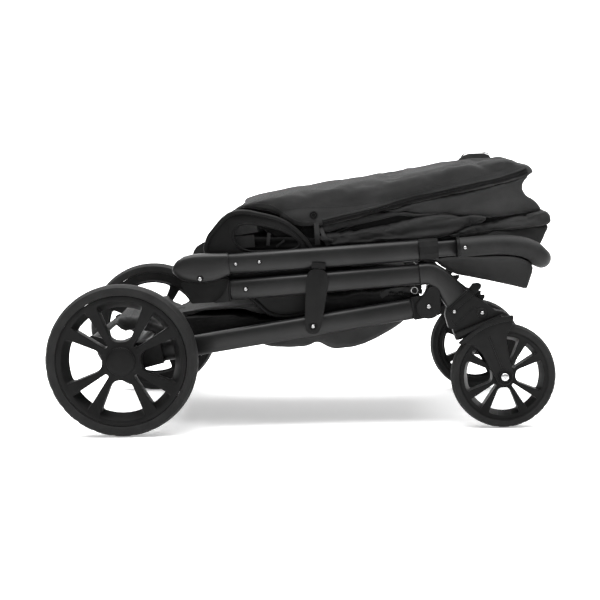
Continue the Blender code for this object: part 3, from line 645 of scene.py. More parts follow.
def build_knuckles():
    """The fold joint: an oval cap that runs out of the handle tube over a flat housing."""
    for side in SIDES:
        y = side * FRAME_Y
        shell = TUBE_WIDTH / 2 + 0.0013
        width = shell * 2
        stations = []
        for x, z, height, share in ((-49.6, 9.0, 7, 0.3), (-48.6, 10.0, 18, 0.5), (-45.0, 12.5, 29, 0.7),
                (-38.0, 15.4, 41, 0.86), (-27.0, 18.4, 50, 0.96), (-12.0, 19.6, 55.5, 1.0),
                (10.0, 20.2, 56.5, 1.0), (25.0, 21.7, 54, 1.0), (38.0, 24.0, 49.5, 1.0),
                (47.5, 26.2, 45.5, 1.0), (54.2, 27.4, 43.4, 1.0), (55.2, 27.5, 42.0, 0.96)):
            stations.append((KNUCKLE + Vector((x, z)) / 1000, height / 1000, width * share))
        cap = oval_run(stations, y, 40, 2.7)
        inner = slab([KNUCKLE + Vector(p) for p in ((-0.06, -0.05), (0.0497, -0.05), (0.0497, 0.06),
            (-0.06, 0.06))], y + side * 0.0002, y - side * 0.05)
        cap = combined(cap, [inner], "DIFFERENCE")
        make_side("knuckle_cap_oval", side, bevelled(cap, 0.0008, 2, 40), "anodised_tube", "handle", 35,
            "knuckle_cap")
        face = y + side * (shell + 0.0002)
        dome_screw(side_name("fold_screw", side), KNUCKLE, face + side * 0.0006, side, "front_frame", 0.0046)

        half = TUBE_HEIGHT / 2
        cheek = [*arc(KNUCKLE, 0.022, 10, 170, 17), KNUCKLE + Vector((-0.0385, -0.0109)),
            KNUCKLE + Vector((-0.033, -0.02)), KNUCKLE + Vector((-0.0345, -0.024)),
            KNUCKLE + Vector((-0.0225, -0.0335)), KNUCKLE + Vector((-0.024, -0.04)),
            KNUCKLE + Vector((-0.017, -0.048)), front_at(0.055, -half - 0.0018), front_at(0.055, half)]
        housing = slab(cheek, y - side * shell, y - side * FIT)
        web = slab([front_at(0.053, -half - 0.0018), front_at(0.055, -half - 0.0018), front_at(0.055, half),
            front_at(0.053, half - 0.002)], y - side * shell, y + side * shell * 0.95)
        lower = slab([front_at(-0.004, -half - 0.0016), front_at(0.052, -half - 0.0016),
            front_at(0.052, half - 0.004), front_at(0.02, -0.0015), front_at(0.004, -0.01)],
            y - side * 0.002, y + side * (shell * 0.86))
        lower = combined(lower, [turned([(0.053, y - 0.03), (0.053, y + 0.03)], KNUCKLE, 64)], "DIFFERENCE")
        housing = combined(housing, [web, lower], "UNION")
        make_side("knuckle_housing_shell", side, bevelled(housing, 0.001, 2), "moulded_plastic",
            "front_frame", 35, "knuckle_housing")


def build_elbow():
    """The bent moulding between front tube and caster, with the base pivot's rounded lug."""
    start = front_at(0.0556 + 0.362 + FIT, 0)
    path = [start, at(0.002, 0.062), at(0.017, 0.0545), at(0.034, 0.039), at(0.05, 0.0175),
        at(0.0575, 0.0075)]
    centre = [flat(p, 0) for p in path]
    run = smooth_path(centre, 25)
    for side in SIDES:
        y = side * FRAME_Y
        width = TUBE_WIDTH + 0.0036
        stations = []
        for k, point in enumerate(run):
            t = k / (len(run) - 1)
            stations.append((Vector((point.x, point.z)), 0.0425 + 0.008 * t * t, width))
        bend = oval_run(stations, y, 40, 2.8)
        trim = [caster_at(-0.098, 0.1409), caster_at(0.065, 0.1849), caster_at(0.065, 0.06),
            caster_at(-0.098, 0.06)]
        bend = combined(bend, [slab(trim, y - 0.05, y + 0.05)], "DIFFERENCE")
        make_side("elbow_bend", side, bevelled(bend, 0.001, 2, 40), "anodised_tube", "front_frame", 40,
            "elbow")
        lug = arc(BASE_PIVOT, 0.0238, -14, -190, 25) + arc(at(0.0085, 0.025), 0.0132, 160, -10, 13)
        for sign, name in ((1, "outer"), (-1, "inner")):
            near = y + sign * 0.0066
            far = y + sign * (width / 2 - 0.0004)
            make_side(f"pivot_lug_{name}", side, bevelled(slab(lug, near, far), 0.0018, 3, 60),
                "moulded_plastic", "front_frame", 35)
        outside = y + side * (width / 2 - 0.0006)
        pin = [(0.005, y - side * 0.012), (0.005, y + side * 0.012)]
        make_side("base_pivot_pin", side, turned(pin, BASE_PIVOT, 32), "bright_steel", "front_frame", 40)
        dome_screw(side_name("base_pivot_screw", side), BASE_PIVOT, outside, side, "front_frame", 0.0048)


PLATE_INNER = 0.213
PLATE_OUTER = 0.222


def build_side_plates():
    outline = [at(*p) for p in ((-0.431, 0.1173), (-0.423, 0.1384), (-0.4131, 0.1518), (-0.3933, 0.1744),
        (-0.3738, 0.1857), (-0.3488, 0.1874), (-0.3277, 0.1832), (-0.2932, 0.175), (-0.2703, 0.1651),
        (-0.2494, 0.1494), (-0.23, 0.1285), (-0.218, 0.106), (-0.208, 0.07), (-0.206, 0.02),
        (-0.215, -0.008), (-0.239, -0.0195), (-0.26, -0.0225), (-0.2813, -0.0225), (-0.296, -0.019),
        (-0.3104, -0.0125), (-0.3372, 0.0121), (-0.385, 0.05), (-0.42, 0.085))]
    closed = [flat(p, 0) for p in outline + outline[:1]]
    fine = [Vector((p.x, p.z)) for p in smooth_path(closed, 96)[:-1]]
    window = [at(*p) for p in ((-0.36, 0.159), (-0.3718, 0.143), (-0.364, 0.119), (-0.34, 0.108),
        (-0.305, 0.1085), (-0.262, 0.1095), (-0.245, 0.119), (-0.254, 0.134), (-0.2859, 0.1499),
        (-0.3186, 0.158), (-0.342, 0.1615))]
    closed = [flat(p, 0) for p in window + window[:1]]
    fine_window = [Vector((p.x, p.z)) for p in smooth_path(closed, 56)[:-1]]
    inner, outer = PLATE_INNER, PLATE_OUTER
    for side in SIDES:
        plate = slab(fine, side * inner, side * (outer - 0.0016))
        plate = combined(plate, [slab(fine_window, side * (inner - 0.01), side * (outer + 0.01))],
            "DIFFERENCE")
        make_side("side_plate_shell", side, bevelled(plate, 0.0012, 2, 40), "wheel_plastic", "front_frame",
            40, "side_plate")
        middle = sum(fine, Vector((0, 0))) / len(fine)
        rim = [flat(p.lerp(middle, 0.04), side * (outer - 0.0028)) for p in fine]
        make_side("side_plate_rim", side, closed_bead(rim, 0.0048, 12), "wheel_plastic", "front_frame", 60)
        bead = [flat(p, side * (outer - 0.002)) for p in fine_window]
        make_side("side_window_bead", side, closed_bead(bead, 0.0022, 8), "wheel_plastic", "front_frame", 60)
        foot = [(0.011, side * (outer - 0.003)), (0.011, side * (TUBE_FACE - TUBE_WIDTH - 0.0002))]
        make_side("side_plate_foot", side, turned(foot, front_at(0.16, 0), 32), "moulded_plastic",
            "front_frame", 40)
        pin = [(0.004, side * (inner - 0.0095)), (0.004, side * (inner + 0.002))]
        make_side("hub_pin", side, turned(pin, HUB, 24), "bright_steel", "front_frame", 40)


def closed_bead(points, radius, sides):
    """A round bead along a closed loop of points."""
    rings = []
    total = len(points)
    for i, point in enumerate(points):
        heading = (points[(i + 1) % total] - points[i - 1]).normalized()
        across = Vector((0, 1, 0))
        lift = heading.cross(across).normalized()
        turn = [2 * math.pi * k / sides for k in range(sides)]
        rings.append([point + (across * math.cos(a) + lift * math.sin(a)) * radius for a in turn])
    return loft(rings, ring_closed=True)


def build_latch():
    """The storage latch plate: broad and square-shouldered above, tapering to its pivot."""
    low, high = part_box("storage_latch")
    along = polar(1, math.radians(84))
    across = Vector((along.y, -along.x))
    corners = [LATCH + along * up + across * out for up, out in ((-0.015, -0.011), (-0.015, 0.011),
        (0.004, 0.0165), (0.092, 0.0222), (0.1075, 0.015), (0.1105, 0.0), (0.1075, -0.015),
        (0.092, -0.0222), (0.004, -0.0165))]
    shape = rounded_outline(corners, [0.01, 0.01, 0.008, 0.008, 0.01, 0.008, 0.01, 0.008, 0.008])
    plate = bevelled(slab(shape, low.y, high.y), 0.0012, 3, 60)
    make("storage_latch_plate", plate, "moulded_plastic", "storage_latch", 40, ("storage_latch",))
    ring = [(0.0085, low.y + 0.001), (0.0085, low.y - 0.0004), (0.0076, low.y - 0.001),
        (0.0058, low.y - 0.001), (0.0054, low.y - 0.0002)]
    make("latch_screw_seat", turned(ring, LATCH, 40), "gloss_plastic", "storage_latch", 30)
    dome_screw("latch_screw", LATCH, low.y + 0.0002, -1, "storage_latch", 0.0042)


# ---------------------------------------------------------------- casters
def from_axle(points):
    """Side-elevation points given in millimetres from the front axle."""
    return [FRONT_AXLE + Vector(p) / 1000 for p in points]


CROWN_LOW = FRONT_RADIUS + 0.0035
CROWN_TOP = CROWN_LOW + 0.008
HOUSING_SIDE = from_axle(((-111.6, 117.3), (-105.2, 93.5), (-97.3, 91.3), (-91.0, 69.7), (-81.5, 71.3),
    (-56.1, 91.9), (-30.7, 106.2), (-11.7, 116.7), (6.0, 121.0), (-18.0, 127.2), (-37.0, 142.7),
    (-56.1, 154.7), (-72.0, 164.8), (-108.4, 131.6)))
SKIRT = from_axle(((-87.8, 66.6), (-62.4, 85.6), (-37.0, 101.4), (-11.7, 113.0), (15.2, 116.0),
    (14.0, 98.3), (4.1, 80.8), (3.6, 66.6), (8.3, 38.0), (15.9, 7.5), (13.5, -9.5), (6.0, -15.5),
    (-3.5, -16.5), (-12.5, -11.5), (-17.5, -2.8), (-27.6, 15.9), (-43.4, 44.4), (-59.3, 60.2),
    (-72.0, 64.4)))
LIP = from_axle(((-88.8, 65.6), (-63.0, 86.8), (-37.6, 102.8), (-12.0, 114.5), (16.2, 117.5), (15.6, 108.0),
    (-8.6, 104.4), (-32.0, 96.5), (-50.8, 86.5), (-70.0, 70.5), (-80.0, 62.5)))


def plane_cutter(y, above, height):
    """Everything on one side of a plane square to the swivel axis."""
    far = 0.2 if above else -0.2
    corners = [caster_at(a, b) for a, b in ((-0.25, height), (0.25, height), (0.25, height + far),
        (-0.25, height + far))]
    return slab(corners, y - 0.06, y + 0.06)


def build_casters():
    for side in SIDES:
        y = side * FRAME_Y
        half = 0.016
        shell = slab(HOUSING_SIDE, y - half, y + half)
        shell = combined(shell, [plane_cutter(y, False, CROWN_TOP + FIT)], "DIFFERENCE")
        make_side("caster_housing_shell", side, bevelled(shell, 0.0024, 3), "moulded_plastic",
            "front_frame", 40, "caster_housing")
        for sign, name in ((1, "left"), (-1, "right")):
            near, far = y + sign * (half - 0.0015), y + sign * (half + 0.0016)
            for i, (start, end) in enumerate((((-96.0, 96.0), (-60.0, 133.0)), ((-100.0, 108.0),
                    (-90.0, 96.0)), ((-57.0, 133.0), (-30.0, 112.0)))):
                begin, finish = from_axle((start, end))
                heading = (finish - begin).normalized()
                across = Vector((-heading.y, heading.x)) * 0.0013
                shape = [begin - across, finish - across, finish + across, begin + across]
                make_side(f"caster_rib_{i}_{name}", side, bevelled(slab(shape, near, far - sign * 0.0006),
                    0.0006, 2), "moulded_plastic", "front_frame", 40)
            boss = [(0.0098, near), (0.0098, far), (0.0086, far + sign * 0.001),
                (0.0066, far + sign * 0.001), (0.0062, far)]
            make_side(f"caster_boss_{name}", side, turned(boss, from_axle([(-41.2, 122.0)])[0], 36),
                "moulded_plastic", "front_frame", 35)
        band = from_axle(((-106.0, 130.5), (-99.0, 121.5), (-68.0, 147.0), (-57.0, 158.0), (-66.0, 166.0)))
        make_side("caster_band", side, bevelled(slab(band, y - half - 0.0016, y + half + 0.0016), 0.0012,
            2), "wheel_plastic", "front_frame", 40)
        fin = from_axle(((-52.0, 150.0), (-40.0, 143.0), (-34.5, 150.5), (-35.5, 156.0), (-50.0, 155.0)))
        make_side("caster_fin", side, bevelled(slab(fin, y - 0.003, y + 0.003), 0.001, 2),
            "moulded_plastic", "front_frame", 40)
        outside = y + side * (half + 0.001)
        dome_screw(side_name("caster_screw_rear", side), from_axle([(-94.5, 125.0)])[0],
            outside + side * 0.0008, side, "front_frame", 0.004)
        dome_screw(side_name("caster_screw_front", side), from_axle([(-41.2, 122.0)])[0], outside, side,
            "front_frame", 0.0044)
        build_swivel_lever(side, y)
        build_fork(side, y, side_name("caster", side))


def build_swivel_lever(side, y):
    """The tongue of the swivel lock, rising past the top of the caster housing."""
    tongue = from_axle(((-72.0, 158.0), (-61.0, 148.5), (-43.0, 169.0), (-41.5, 175.0), (-46.0, 178.5),
        (-58.0, 177.5)))
    make_side("swivel_tongue", side, bevelled(slab(tongue, y - side * 0.005, y + side * 0.01), 0.0014, 3),
        "wheel_plastic", side_name("swivel_lock", side), 40, "swivel_lock")


def build_fork(side, y, body):
    """A fan-shaped outer arm under a lipped crown, a plain inner arm, ribs and axle bosses."""
    gap = FRONT_WIDTH / 2 + 0.004
    thick = 0.007
    inner_arm = [caster_at(a, b) for a, b in ((-0.036, CROWN_TOP), (-0.033, CROWN_LOW - 0.002),
        (-0.024, CROWN_LOW - 0.014), (-0.012, CROWN_LOW - 0.04), (-0.001, 0.015))]
    lean = math.degrees(math.atan2(SWIVEL_ALONG.y, SWIVEL_ALONG.x))
    inner_arm += arc(FRONT_AXLE, 0.0175, 188 + lean, 352 + lean, 19)
    inner_arm += [caster_at(a, b) for a, b in ((0.0355, 0.02), (0.037, CROWN_LOW - 0.045),
        (0.043, CROWN_LOW - 0.016), (0.056, CROWN_TOP))]
    outer = combined(slab(SKIRT, y + side * gap, y + side * (gap + thick)), [plane_cutter(y, True,
        CROWN_TOP)], "DIFFERENCE")
    make_side("fork_skirt", side, bevelled(outer, 0.0018, 3, 40), "moulded_plastic", body, 40, "fork")
    inner = slab(inner_arm, y - side * gap, y - side * (gap + thick))
    make_side("fork_inner_arm", side, bevelled(inner, 0.0018, 3, 40), "moulded_plastic", body, 40)
    crown = [caster_at(a, b) for a, b in ((-0.04, CROWN_TOP), (-0.038, CROWN_LOW - 0.001),
        (-0.02, CROWN_LOW), (0.04, CROWN_LOW), (0.052, CROWN_LOW + 0.001), (0.056, CROWN_TOP))]
    web = bevelled(slab(crown, y - gap - thick + 0.0004, y + gap + thick - 0.0004), 0.0014, 2)
    make_side("fork_crown", side, web, "moulded_plastic", body, 40)
    block = combined(slab(HOUSING_SIDE, y - 0.0158, y + 0.0158), [plane_cutter(y, True, CROWN_TOP)],
        "DIFFERENCE")
    make_side("fork_block", side, bevelled(block, 0.0012, 2), "moulded_plastic", body, 40)
    lip = combined(slab(LIP, y + side * (gap - 0.004), y + side * (gap + thick + 0.0022)),
        [plane_cutter(y, True, CROWN_TOP)], "DIFFERENCE")
    make_side("fork_lip", side, bevelled(lip, 0.0012, 2), "moulded_plastic", body, 40)
    stem = [flat(caster_at(0, CROWN_TOP - 0.001), y), flat(caster_at(0, CROWN_TOP + 0.024), y)]
    make_side("fork_stem", side, swept(stem, 0.0058, 24), "bright_steel", body, 40)
    face = y + side * (gap + thick)
    rib = rounded_outline(from_axle(((-30.5, 76.0), (-26.8, 77.0), (-3.2, 17.5), (-6.9, 16.5))),
        [0.0015] * 4)
    make_side("fork_rib", side, bevelled(slab(rib, face - side * 0.001, face + side * 0.0022), 0.0009, 2),
        "moulded_plastic", body, 40)
    for sign in (1, -1):
        face = y + sign * (gap + thick)
        name = "out" if sign == side else "in"
        boss = [(0.0145, face - sign * 0.001), (0.0145, face + sign * 0.0008), (0.0134,
            face + sign * 0.0022), (0.0114, face + sign * 0.0022), (0.0104, face + sign * 0.0004)]
        make_side(f"axle_boss_{name}", side, turned(boss, FRONT_AXLE, 40), "gloss_plastic", body, 35)
        dome = [(0.0082, face - sign * 0.001), (0.0082, face + sign * 0.0014), (0.007, face + sign * 0.003),
            (0.0048, face + sign * 0.0042), (0.0028, face + sign * 0.0046), (0.0024, face + sign * 0.003)]
        make_side(f"axle_dome_{name}", side, turned(dome, FRONT_AXLE, 40), "polished_steel", body, 40)


# ---------------------------------------------------------------- grip
GRIP_START = 0.4925
GRIP_RADIUS = 0.0188
GRIP_CORNER = 0.022
BUTTON_POCKET = (0.023, 0.041, 0.0148)
POCKET_FORWARD = 0.019


def build_grip():
    """The foam-sleeved handlebar with end ferrules and a pocket for the fold button."""
    start = GRIP_START
    half = [handle_at(start, 0), handle_at(start + 0.06, 0.0005), handle_at(start + 0.095, -0.0015),
        handle_at(start + 0.125, -0.0075), handle_at(start + 0.145, -0.017)]
    bar = handle_at(start + 0.161, -0.033)
    y = FRAME_Y
    corner = GRIP_CORNER
    side_path = [flat(p, y) for p in half]
    end = Vector((bar.x, y - corner, bar.y))
    knee = Vector((bar.x, y, bar.y))
    turn = [side_path[-1].lerp(knee, t).lerp(knee.lerp(end, t), t) for t in (0.25, 0.5, 0.75, 1)]
    coarse = side_path + turn + [Vector((bar.x, y * 0.5, bar.y)), Vector((bar.x, 0, bar.y))]
    left = smooth_path(coarse, 90)
    right = [Vector((p.x, -p.y, p.z)) for p in reversed(left[:-1])]
    grip = swept(left + right, GRIP_RADIUS, 32)
    pocket = bmesh.new()
    bmesh.ops.create_cube(pocket, size=1)
    bmesh.ops.scale(pocket, vec=BUTTON_POCKET, verts=pocket.verts)
    bmesh.ops.translate(pocket, vec=(bar.x + POCKET_FORWARD, 0, bar.y), verts=pocket.verts)
    grip = combined(grip, [pocket], "DIFFERENCE")
    make("grip_sleeve", grip, "grip_foam", "grip", 40, ("grip_bar",))
    for side in SIDES:
        ferrule = [(handle_at(start - 0.0002, 0), 0.0385, 0.0385), (handle_at(start + 0.001, 0), 0.0395,
            0.0395), (handle_at(start + 0.0045, 0), 0.0395, 0.0395), (handle_at(start + 0.0055, 0), 0.038,
            0.038)]
        make_side("grip_ferrule", side, oval_run(ferrule, side * y, 36, 2.0), "moulded_plastic", "grip", 40)
        dome_screw(side_name("grip_screw", side), handle_at(start + 0.014, 0), side * (y + 0.0184), side,
            "grip", 0.0038)


# ---------------------------------------------------------------- soft goods
def streaks(point, centre, across, along, depth):
    """Creases that run out from a side point, uneven along their length."""
    offset = Vector((point.x, point.z)) - centre
    reach = offset.length
    angle = math.atan2(offset.y, offset.x)
    value = noise.noise(Vector((reach * along, angle * across, point.y * 6)))
    return depth * (value - 0.55 * abs(value))


def ridges(point, centre, count, depth, wobble=0.5):
    """Regular rounded pleats that fan out from a side point."""
    offset = Vector((point.x, point.z)) - centre
    angle = math.atan2(offset.y, offset.x) + wobble * 0.05 * noise.noise(point * 8)
    return depth * (abs(math.sin(angle * count)) - 0.6)


def soft_slab(name, outline, half, edge, count=110, crown=0.0):
    """A closed soft volume across the stroller with the given side outline."""
    closed = [flat(p, 0) for p in outline + outline[:1]]
    fine = [Vector((p.x, p.z)) for p in smooth_path(closed, count)[:-1]]
    middle = sum(fine, Vector((0, 0))) / len(fine)
    rings = []
    for share, inset in ((-1.0, 1.0), (-0.994, 0.55), (-0.975, 0.2), (-0.94, 0.0), (-0.5, 0.0), (0.0, 0.0),
            (0.5, 0.0), (0.94, 0.0), (0.975, 0.2), (0.994, 0.55), (1.0, 1.0)):
        y = share * half
        drop = crown * share * share
        ring = []
        for p in fine:
            towards = (middle - p)
            pulled = p + towards.normalized() * min(edge * inset, towards.length * 0.5)
            ring.append(Vector((pulled.x, y, pulled.y - drop)))
        rings.append(ring)
    data = bpy.data.meshes.new(name)
    mesh = loft(rings)
    mesh.to_mesh(data)
    mesh.free()
    piece = bpy.data.objects.new(name, data)
    bpy.context.scene.collection.objects.link(piece)
    return piece


def wrinkle(piece, frames, pressure, slack, cap, bending):
    """Let pressure and spare cloth wrinkle a volume, and keep its moves small."""
    rest = [v.co.copy() for v in piece.data.vertices]
    cloth = piece.modifiers.new("cloth", "CLOTH")
    cloth.settings.quality = 5
    cloth.settings.mass = 0.2
    cloth.settings.tension_stiffness = 12
    cloth.settings.compression_stiffness = 12
    cloth.settings.shear_stiffness = 4
    cloth.settings.bending_stiffness = bending
    cloth.settings.shrink_min = -slack
    cloth.settings.use_pressure = True
    cloth.settings.uniform_pressure_force = pressure
    cloth.settings.effector_weights.gravity = 0
    cloth.point_cache.frame_start = 1
    cloth.point_cache.frame_end = frames
    scene = bpy.context.scene
    for number in range(1, frames + 1):
        scene.frame_set(number)
    depsgraph = bpy.context.evaluated_depsgraph_get()
    moved = [v.co.copy() for v in piece.evaluated_get(depsgraph).data.vertices]
    piece.modifiers.remove(cloth)
    scene.frame_set(1)
    for vertex, start, end in zip(piece.data.vertices, rest, moved):
        shift = end - start
        if shift.length > cap:
            shift *= cap / shift.length
        vertex.co = start + shift


SOFT_PIECES = {}
CLOTH_FRAMES = 16


def soft_piece(name, outline, half, material, body, stands_for=(), edge=0.008, voxel=0.005, folds=None,
        pressure=2.5, slack=0.03, cap=0.006, bending=0.1, crown=0.0, taper=None, frames=0):
    piece = soft_slab(name, [at(*p) for p in outline], half, edge, crown=crown)
    if taper:
        start, end, inset = at(taper[0], 0).x, at(taper[1], 0).x, taper[2]
        for vertex in piece.data.vertices:
            share = min(1.0, max(0.0, (vertex.co.x - start) / (end - start)))
            vertex.co.y *= 1 - inset / half * share ** 2
    step = piece.modifiers.new("remesh", "REMESH")
    step.mode = "VOXEL"
    step.voxel_size = voxel
    settle(piece)
    if folds:
        normals = [v.normal.copy() for v in piece.data.vertices]
        for vertex, normal in zip(piece.data.vertices, normals):
            vertex.co += normal * folds(vertex.co)
    if frames:
        wrinkle(piece, frames, pressure, slack, cap, bending)
    fine = piece.modifiers.new("smooth", "SUBSURF")
    fine.levels = fine.render_levels = 1
    settle(piece)
    SOFT_PIECES[name] = piece
    adopt(piece, material, body, 0, stands_for)
    return piece


ZIP_UPPER = ((-0.1999, 0.1663), (-0.1053, 0.1876), (-0.0213, 0.2091), (0.0834, 0.2319), (0.1531, 0.2465),
    (0.1914, 0.2599))
ZIP_LOWER = ((-0.2001, 0.1558), (-0.0914, 0.1804), (-0.0109, 0.2002), (0.0834, 0.2197), (0.1705, 0.2393),
    (0.2019, 0.2493))
HOOD_TOP = ((-0.3552, 0.1945), (-0.351, 0.203), (-0.3331, 0.2081), (-0.3012, 0.2135), (-0.2553, 0.2228),
    (-0.195, 0.232), (-0.142, 0.2389), (-0.0805, 0.2479), (-0.017, 0.2588), (0.0682, 0.2714),
    (0.1252, 0.2785), (0.1552, 0.28), (0.1823, 0.2735), (0.203, 0.262), (0.21, 0.252))
FLAP_HEM = ((-0.33, 0.195), (-0.301, 0.1922), (-0.2802, 0.1797), (-0.2664, 0.169), (-0.252, 0.16),
    (-0.2385, 0.157), (-0.2175, 0.1575))


def between_hood_ends(piece):
    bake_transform(piece)
    return piece


def build_hood():
    """The hood skin with its flap, and the gusset that the zip joins to it."""
    outline = list(HOOD_TOP) + [(x, z + 0.001) for x, z in reversed(ZIP_LOWER)][:-1] + [(-0.2001,
        0.157)] + list(reversed(FLAP_HEM))
    between_hood_ends(soft_piece("hood_shell", outline, 0.201, "black_cloth", None,
        ("canopy_hood", "canopy_brim"), edge=0.012, taper=(0.12, 0.21, 0.026), crown=0.006, slack=0.035,
        pressure=0.9, cap=0.005, bending=0.15, frames=CLOTH_FRAMES, voxel=0.0055,
        folds=lambda p: streaks(p, at(-0.95, 0.02), 55, 9, 0.005) + 0.0024 * noise.noise(p * 13)))
    gusset = [(-0.09, 0.1795), (-0.0109, 0.1985), (0.0834, 0.218), (0.1705, 0.2375), (0.201, 0.247),
        (0.199, 0.24), (0.1907, 0.225), (0.193, 0.213), (0.2158, 0.1934), (0.2263, 0.1793),
        (0.2228, 0.1752), (0.1879, 0.1729), (0.153, 0.166), (0.1181, 0.1655), (0.0623, 0.1725),
        (-0.0215, 0.177), (-0.0774, 0.179)]
    between_hood_ends(soft_piece("hood_gusset", gusset, 0.203, "black_cloth", None, edge=0.006,
        taper=(0.12, 0.226, 0.02), folds=lambda p: streaks(p, HUB, 24, 6, 0.0034)))
    upper = [(-0.2085, 0.144), (-0.206, 0.1545), (-0.14, 0.168), (-0.0774, 0.18), (-0.01, 0.177),
        (0.04, 0.173), (0.0064, 0.1708), (-0.0565, 0.169), (-0.1055, 0.161), (-0.1617, 0.148),
        (-0.1968, 0.1405)]
    between_hood_ends(soft_piece("pleat_upper", upper, 0.202, "black_cloth", None, edge=0.005, voxel=0.0045,
        folds=lambda p: streaks(p, at(-0.23, 0.13), 34, 8, 0.004)))


def build_pleats():
    """The gathered inner cloth: a long pleat, a lining darkened with painted shade, the rolled hem and the front
    valance.
    """
    centre = at(-0.26, 0.11)
    soft_piece("pleat_lower", [(-0.2091, 0.131), (-0.1968, 0.1375), (-0.15, 0.1415), (-0.1057, 0.145),
        (-0.0041, 0.1669), (0.0483, 0.1705), (0.115, 0.165), (0.0831, 0.1482), (0.0481, 0.1365),
        (-0.0114, 0.1268), (-0.127, 0.1215), (-0.1795, 0.119), (-0.197, 0.123)], 0.203, "black_cloth",
        "front_frame", edge=0.007, voxel=0.0045, slack=0.04, pressure=3.0, cap=0.005, frames=CLOTH_FRAMES,
        folds=lambda p: streaks(p, centre, 30, 6, 0.0045))
    # The lining uses the darker cloth copy as painted shade: it sits behind the hood pieces where shade falls.
    soft_piece("hood_lining", [(-0.245, 0.12), (-0.24, 0.152), (-0.2, 0.154), (-0.1, 0.172), (0.0, 0.185),
        (0.12, 0.19), (0.2, 0.18), (0.22, 0.164), (0.215, 0.148), (0.12, 0.133), (0.0, 0.12),
        (-0.12, 0.113), (-0.2, 0.111)], 0.19, "shaded_cloth", "front_frame", edge=0.008, voxel=0.006,
        folds=lambda p: ridges(p, centre, 46, 0.004))
    soft_piece("rim_roll", [(-0.03, 0.124), (0.0481, 0.1345), (0.0831, 0.1447), (0.153, 0.1612),
        (0.205, 0.1715), (0.23, 0.1765), (0.24, 0.174), (0.2437, 0.1634), (0.2395, 0.152), (0.2, 0.148),
        (0.153, 0.1437), (0.0621, 0.1325)], 0.2045, "black_cloth", "front_frame", edge=0.007,
        taper=(0.16, 0.244, 0.012), voxel=0.0045, slack=0.04, pressure=4.0, cap=0.004, frames=CLOTH_FRAMES,
        folds=lambda p: streaks(p, centre, 22, 9, 0.0026))
    soft_piece("front_valance", [(0.0621, 0.1318), (0.153, 0.1425), (0.22, 0.1478), (0.2385, 0.149),
        (0.24, 0.144), (0.232, 0.129), (0.2246, 0.1147), (0.215, 0.11), (0.153, 0.11), (0.09, 0.118)], 0.2,
        "black_cloth", "front_frame", edge=0.005, taper=(0.16, 0.244, 0.012), folds=lambda p: streaks(p,
        centre, 14, 5, 0.0018))
    for name in ("rim_roll", "front_valance"):
        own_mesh(SOFT_PIECES[name])


def build_cabin():
    """The collapsed walls and floor of the cabin, the tub panel, and the basket under them."""
    # The collapsed cabin walls use the darker cloth copy as painted shade, for cloth lying in shade between the
    # frame's sides.
    soft_piece("cabin_stack", [(-0.408, 0.095), (-0.395, 0.118), (-0.37, 0.133), (-0.28, 0.135),
        (-0.15, 0.123), (0.0, 0.12), (0.09, 0.119), (0.145, 0.114), (0.14, 0.096), (0.09, 0.092),
        (0.0, 0.079), (-0.15, 0.077), (-0.28, 0.076), (-0.37, 0.084)], 0.196, "shaded_cloth", "front_frame",
        ("cabin_body",), edge=0.01, voxel=0.006,
        folds=lambda p: 0.0035 * math.sin(p.z * 420 + noise.noise(p * 9) * 4))
    # The rear tuck uses the darker cloth copy as painted shade, for cloth in shade behind the side plate's window.
    soft_piece("rear_tuck", [(-0.4, 0.15), (-0.39, 0.172), (-0.37, 0.188), (-0.353, 0.1955), (-0.33, 0.198),
        (-0.29, 0.193), (-0.28, 0.176), (-0.26, 0.16), (-0.235, 0.15), (-0.225, 0.12), (-0.28, 0.124),
        (-0.32, 0.15), (-0.36, 0.156), (-0.385, 0.14)], 0.181, "shaded_cloth", "front_frame", edge=0.006,
        voxel=0.006, folds=lambda p: ridges(p, at(-0.3, 0.05), 34, 0.003))
    soft_piece("cabin_tub_shell", [(0.02, 0.086), (0.024, 0.078), (0.04, 0.0665), (0.0583, 0.0568),
        (0.1003, 0.048), (0.1634, 0.0335), (0.186, 0.0275), (0.193, 0.0262), (0.1965, 0.03), (0.206, 0.06),
        (0.2075, 0.068), (0.2, 0.078), (0.17, 0.088), (0.1, 0.09), (0.05, 0.09)], 0.205, "black_cloth",
        "front_frame", ("cabin_tub",), edge=0.004, voxel=0.0045,
        folds=lambda p: 0.0012 * noise.noise(p * 20))
    build_basket()


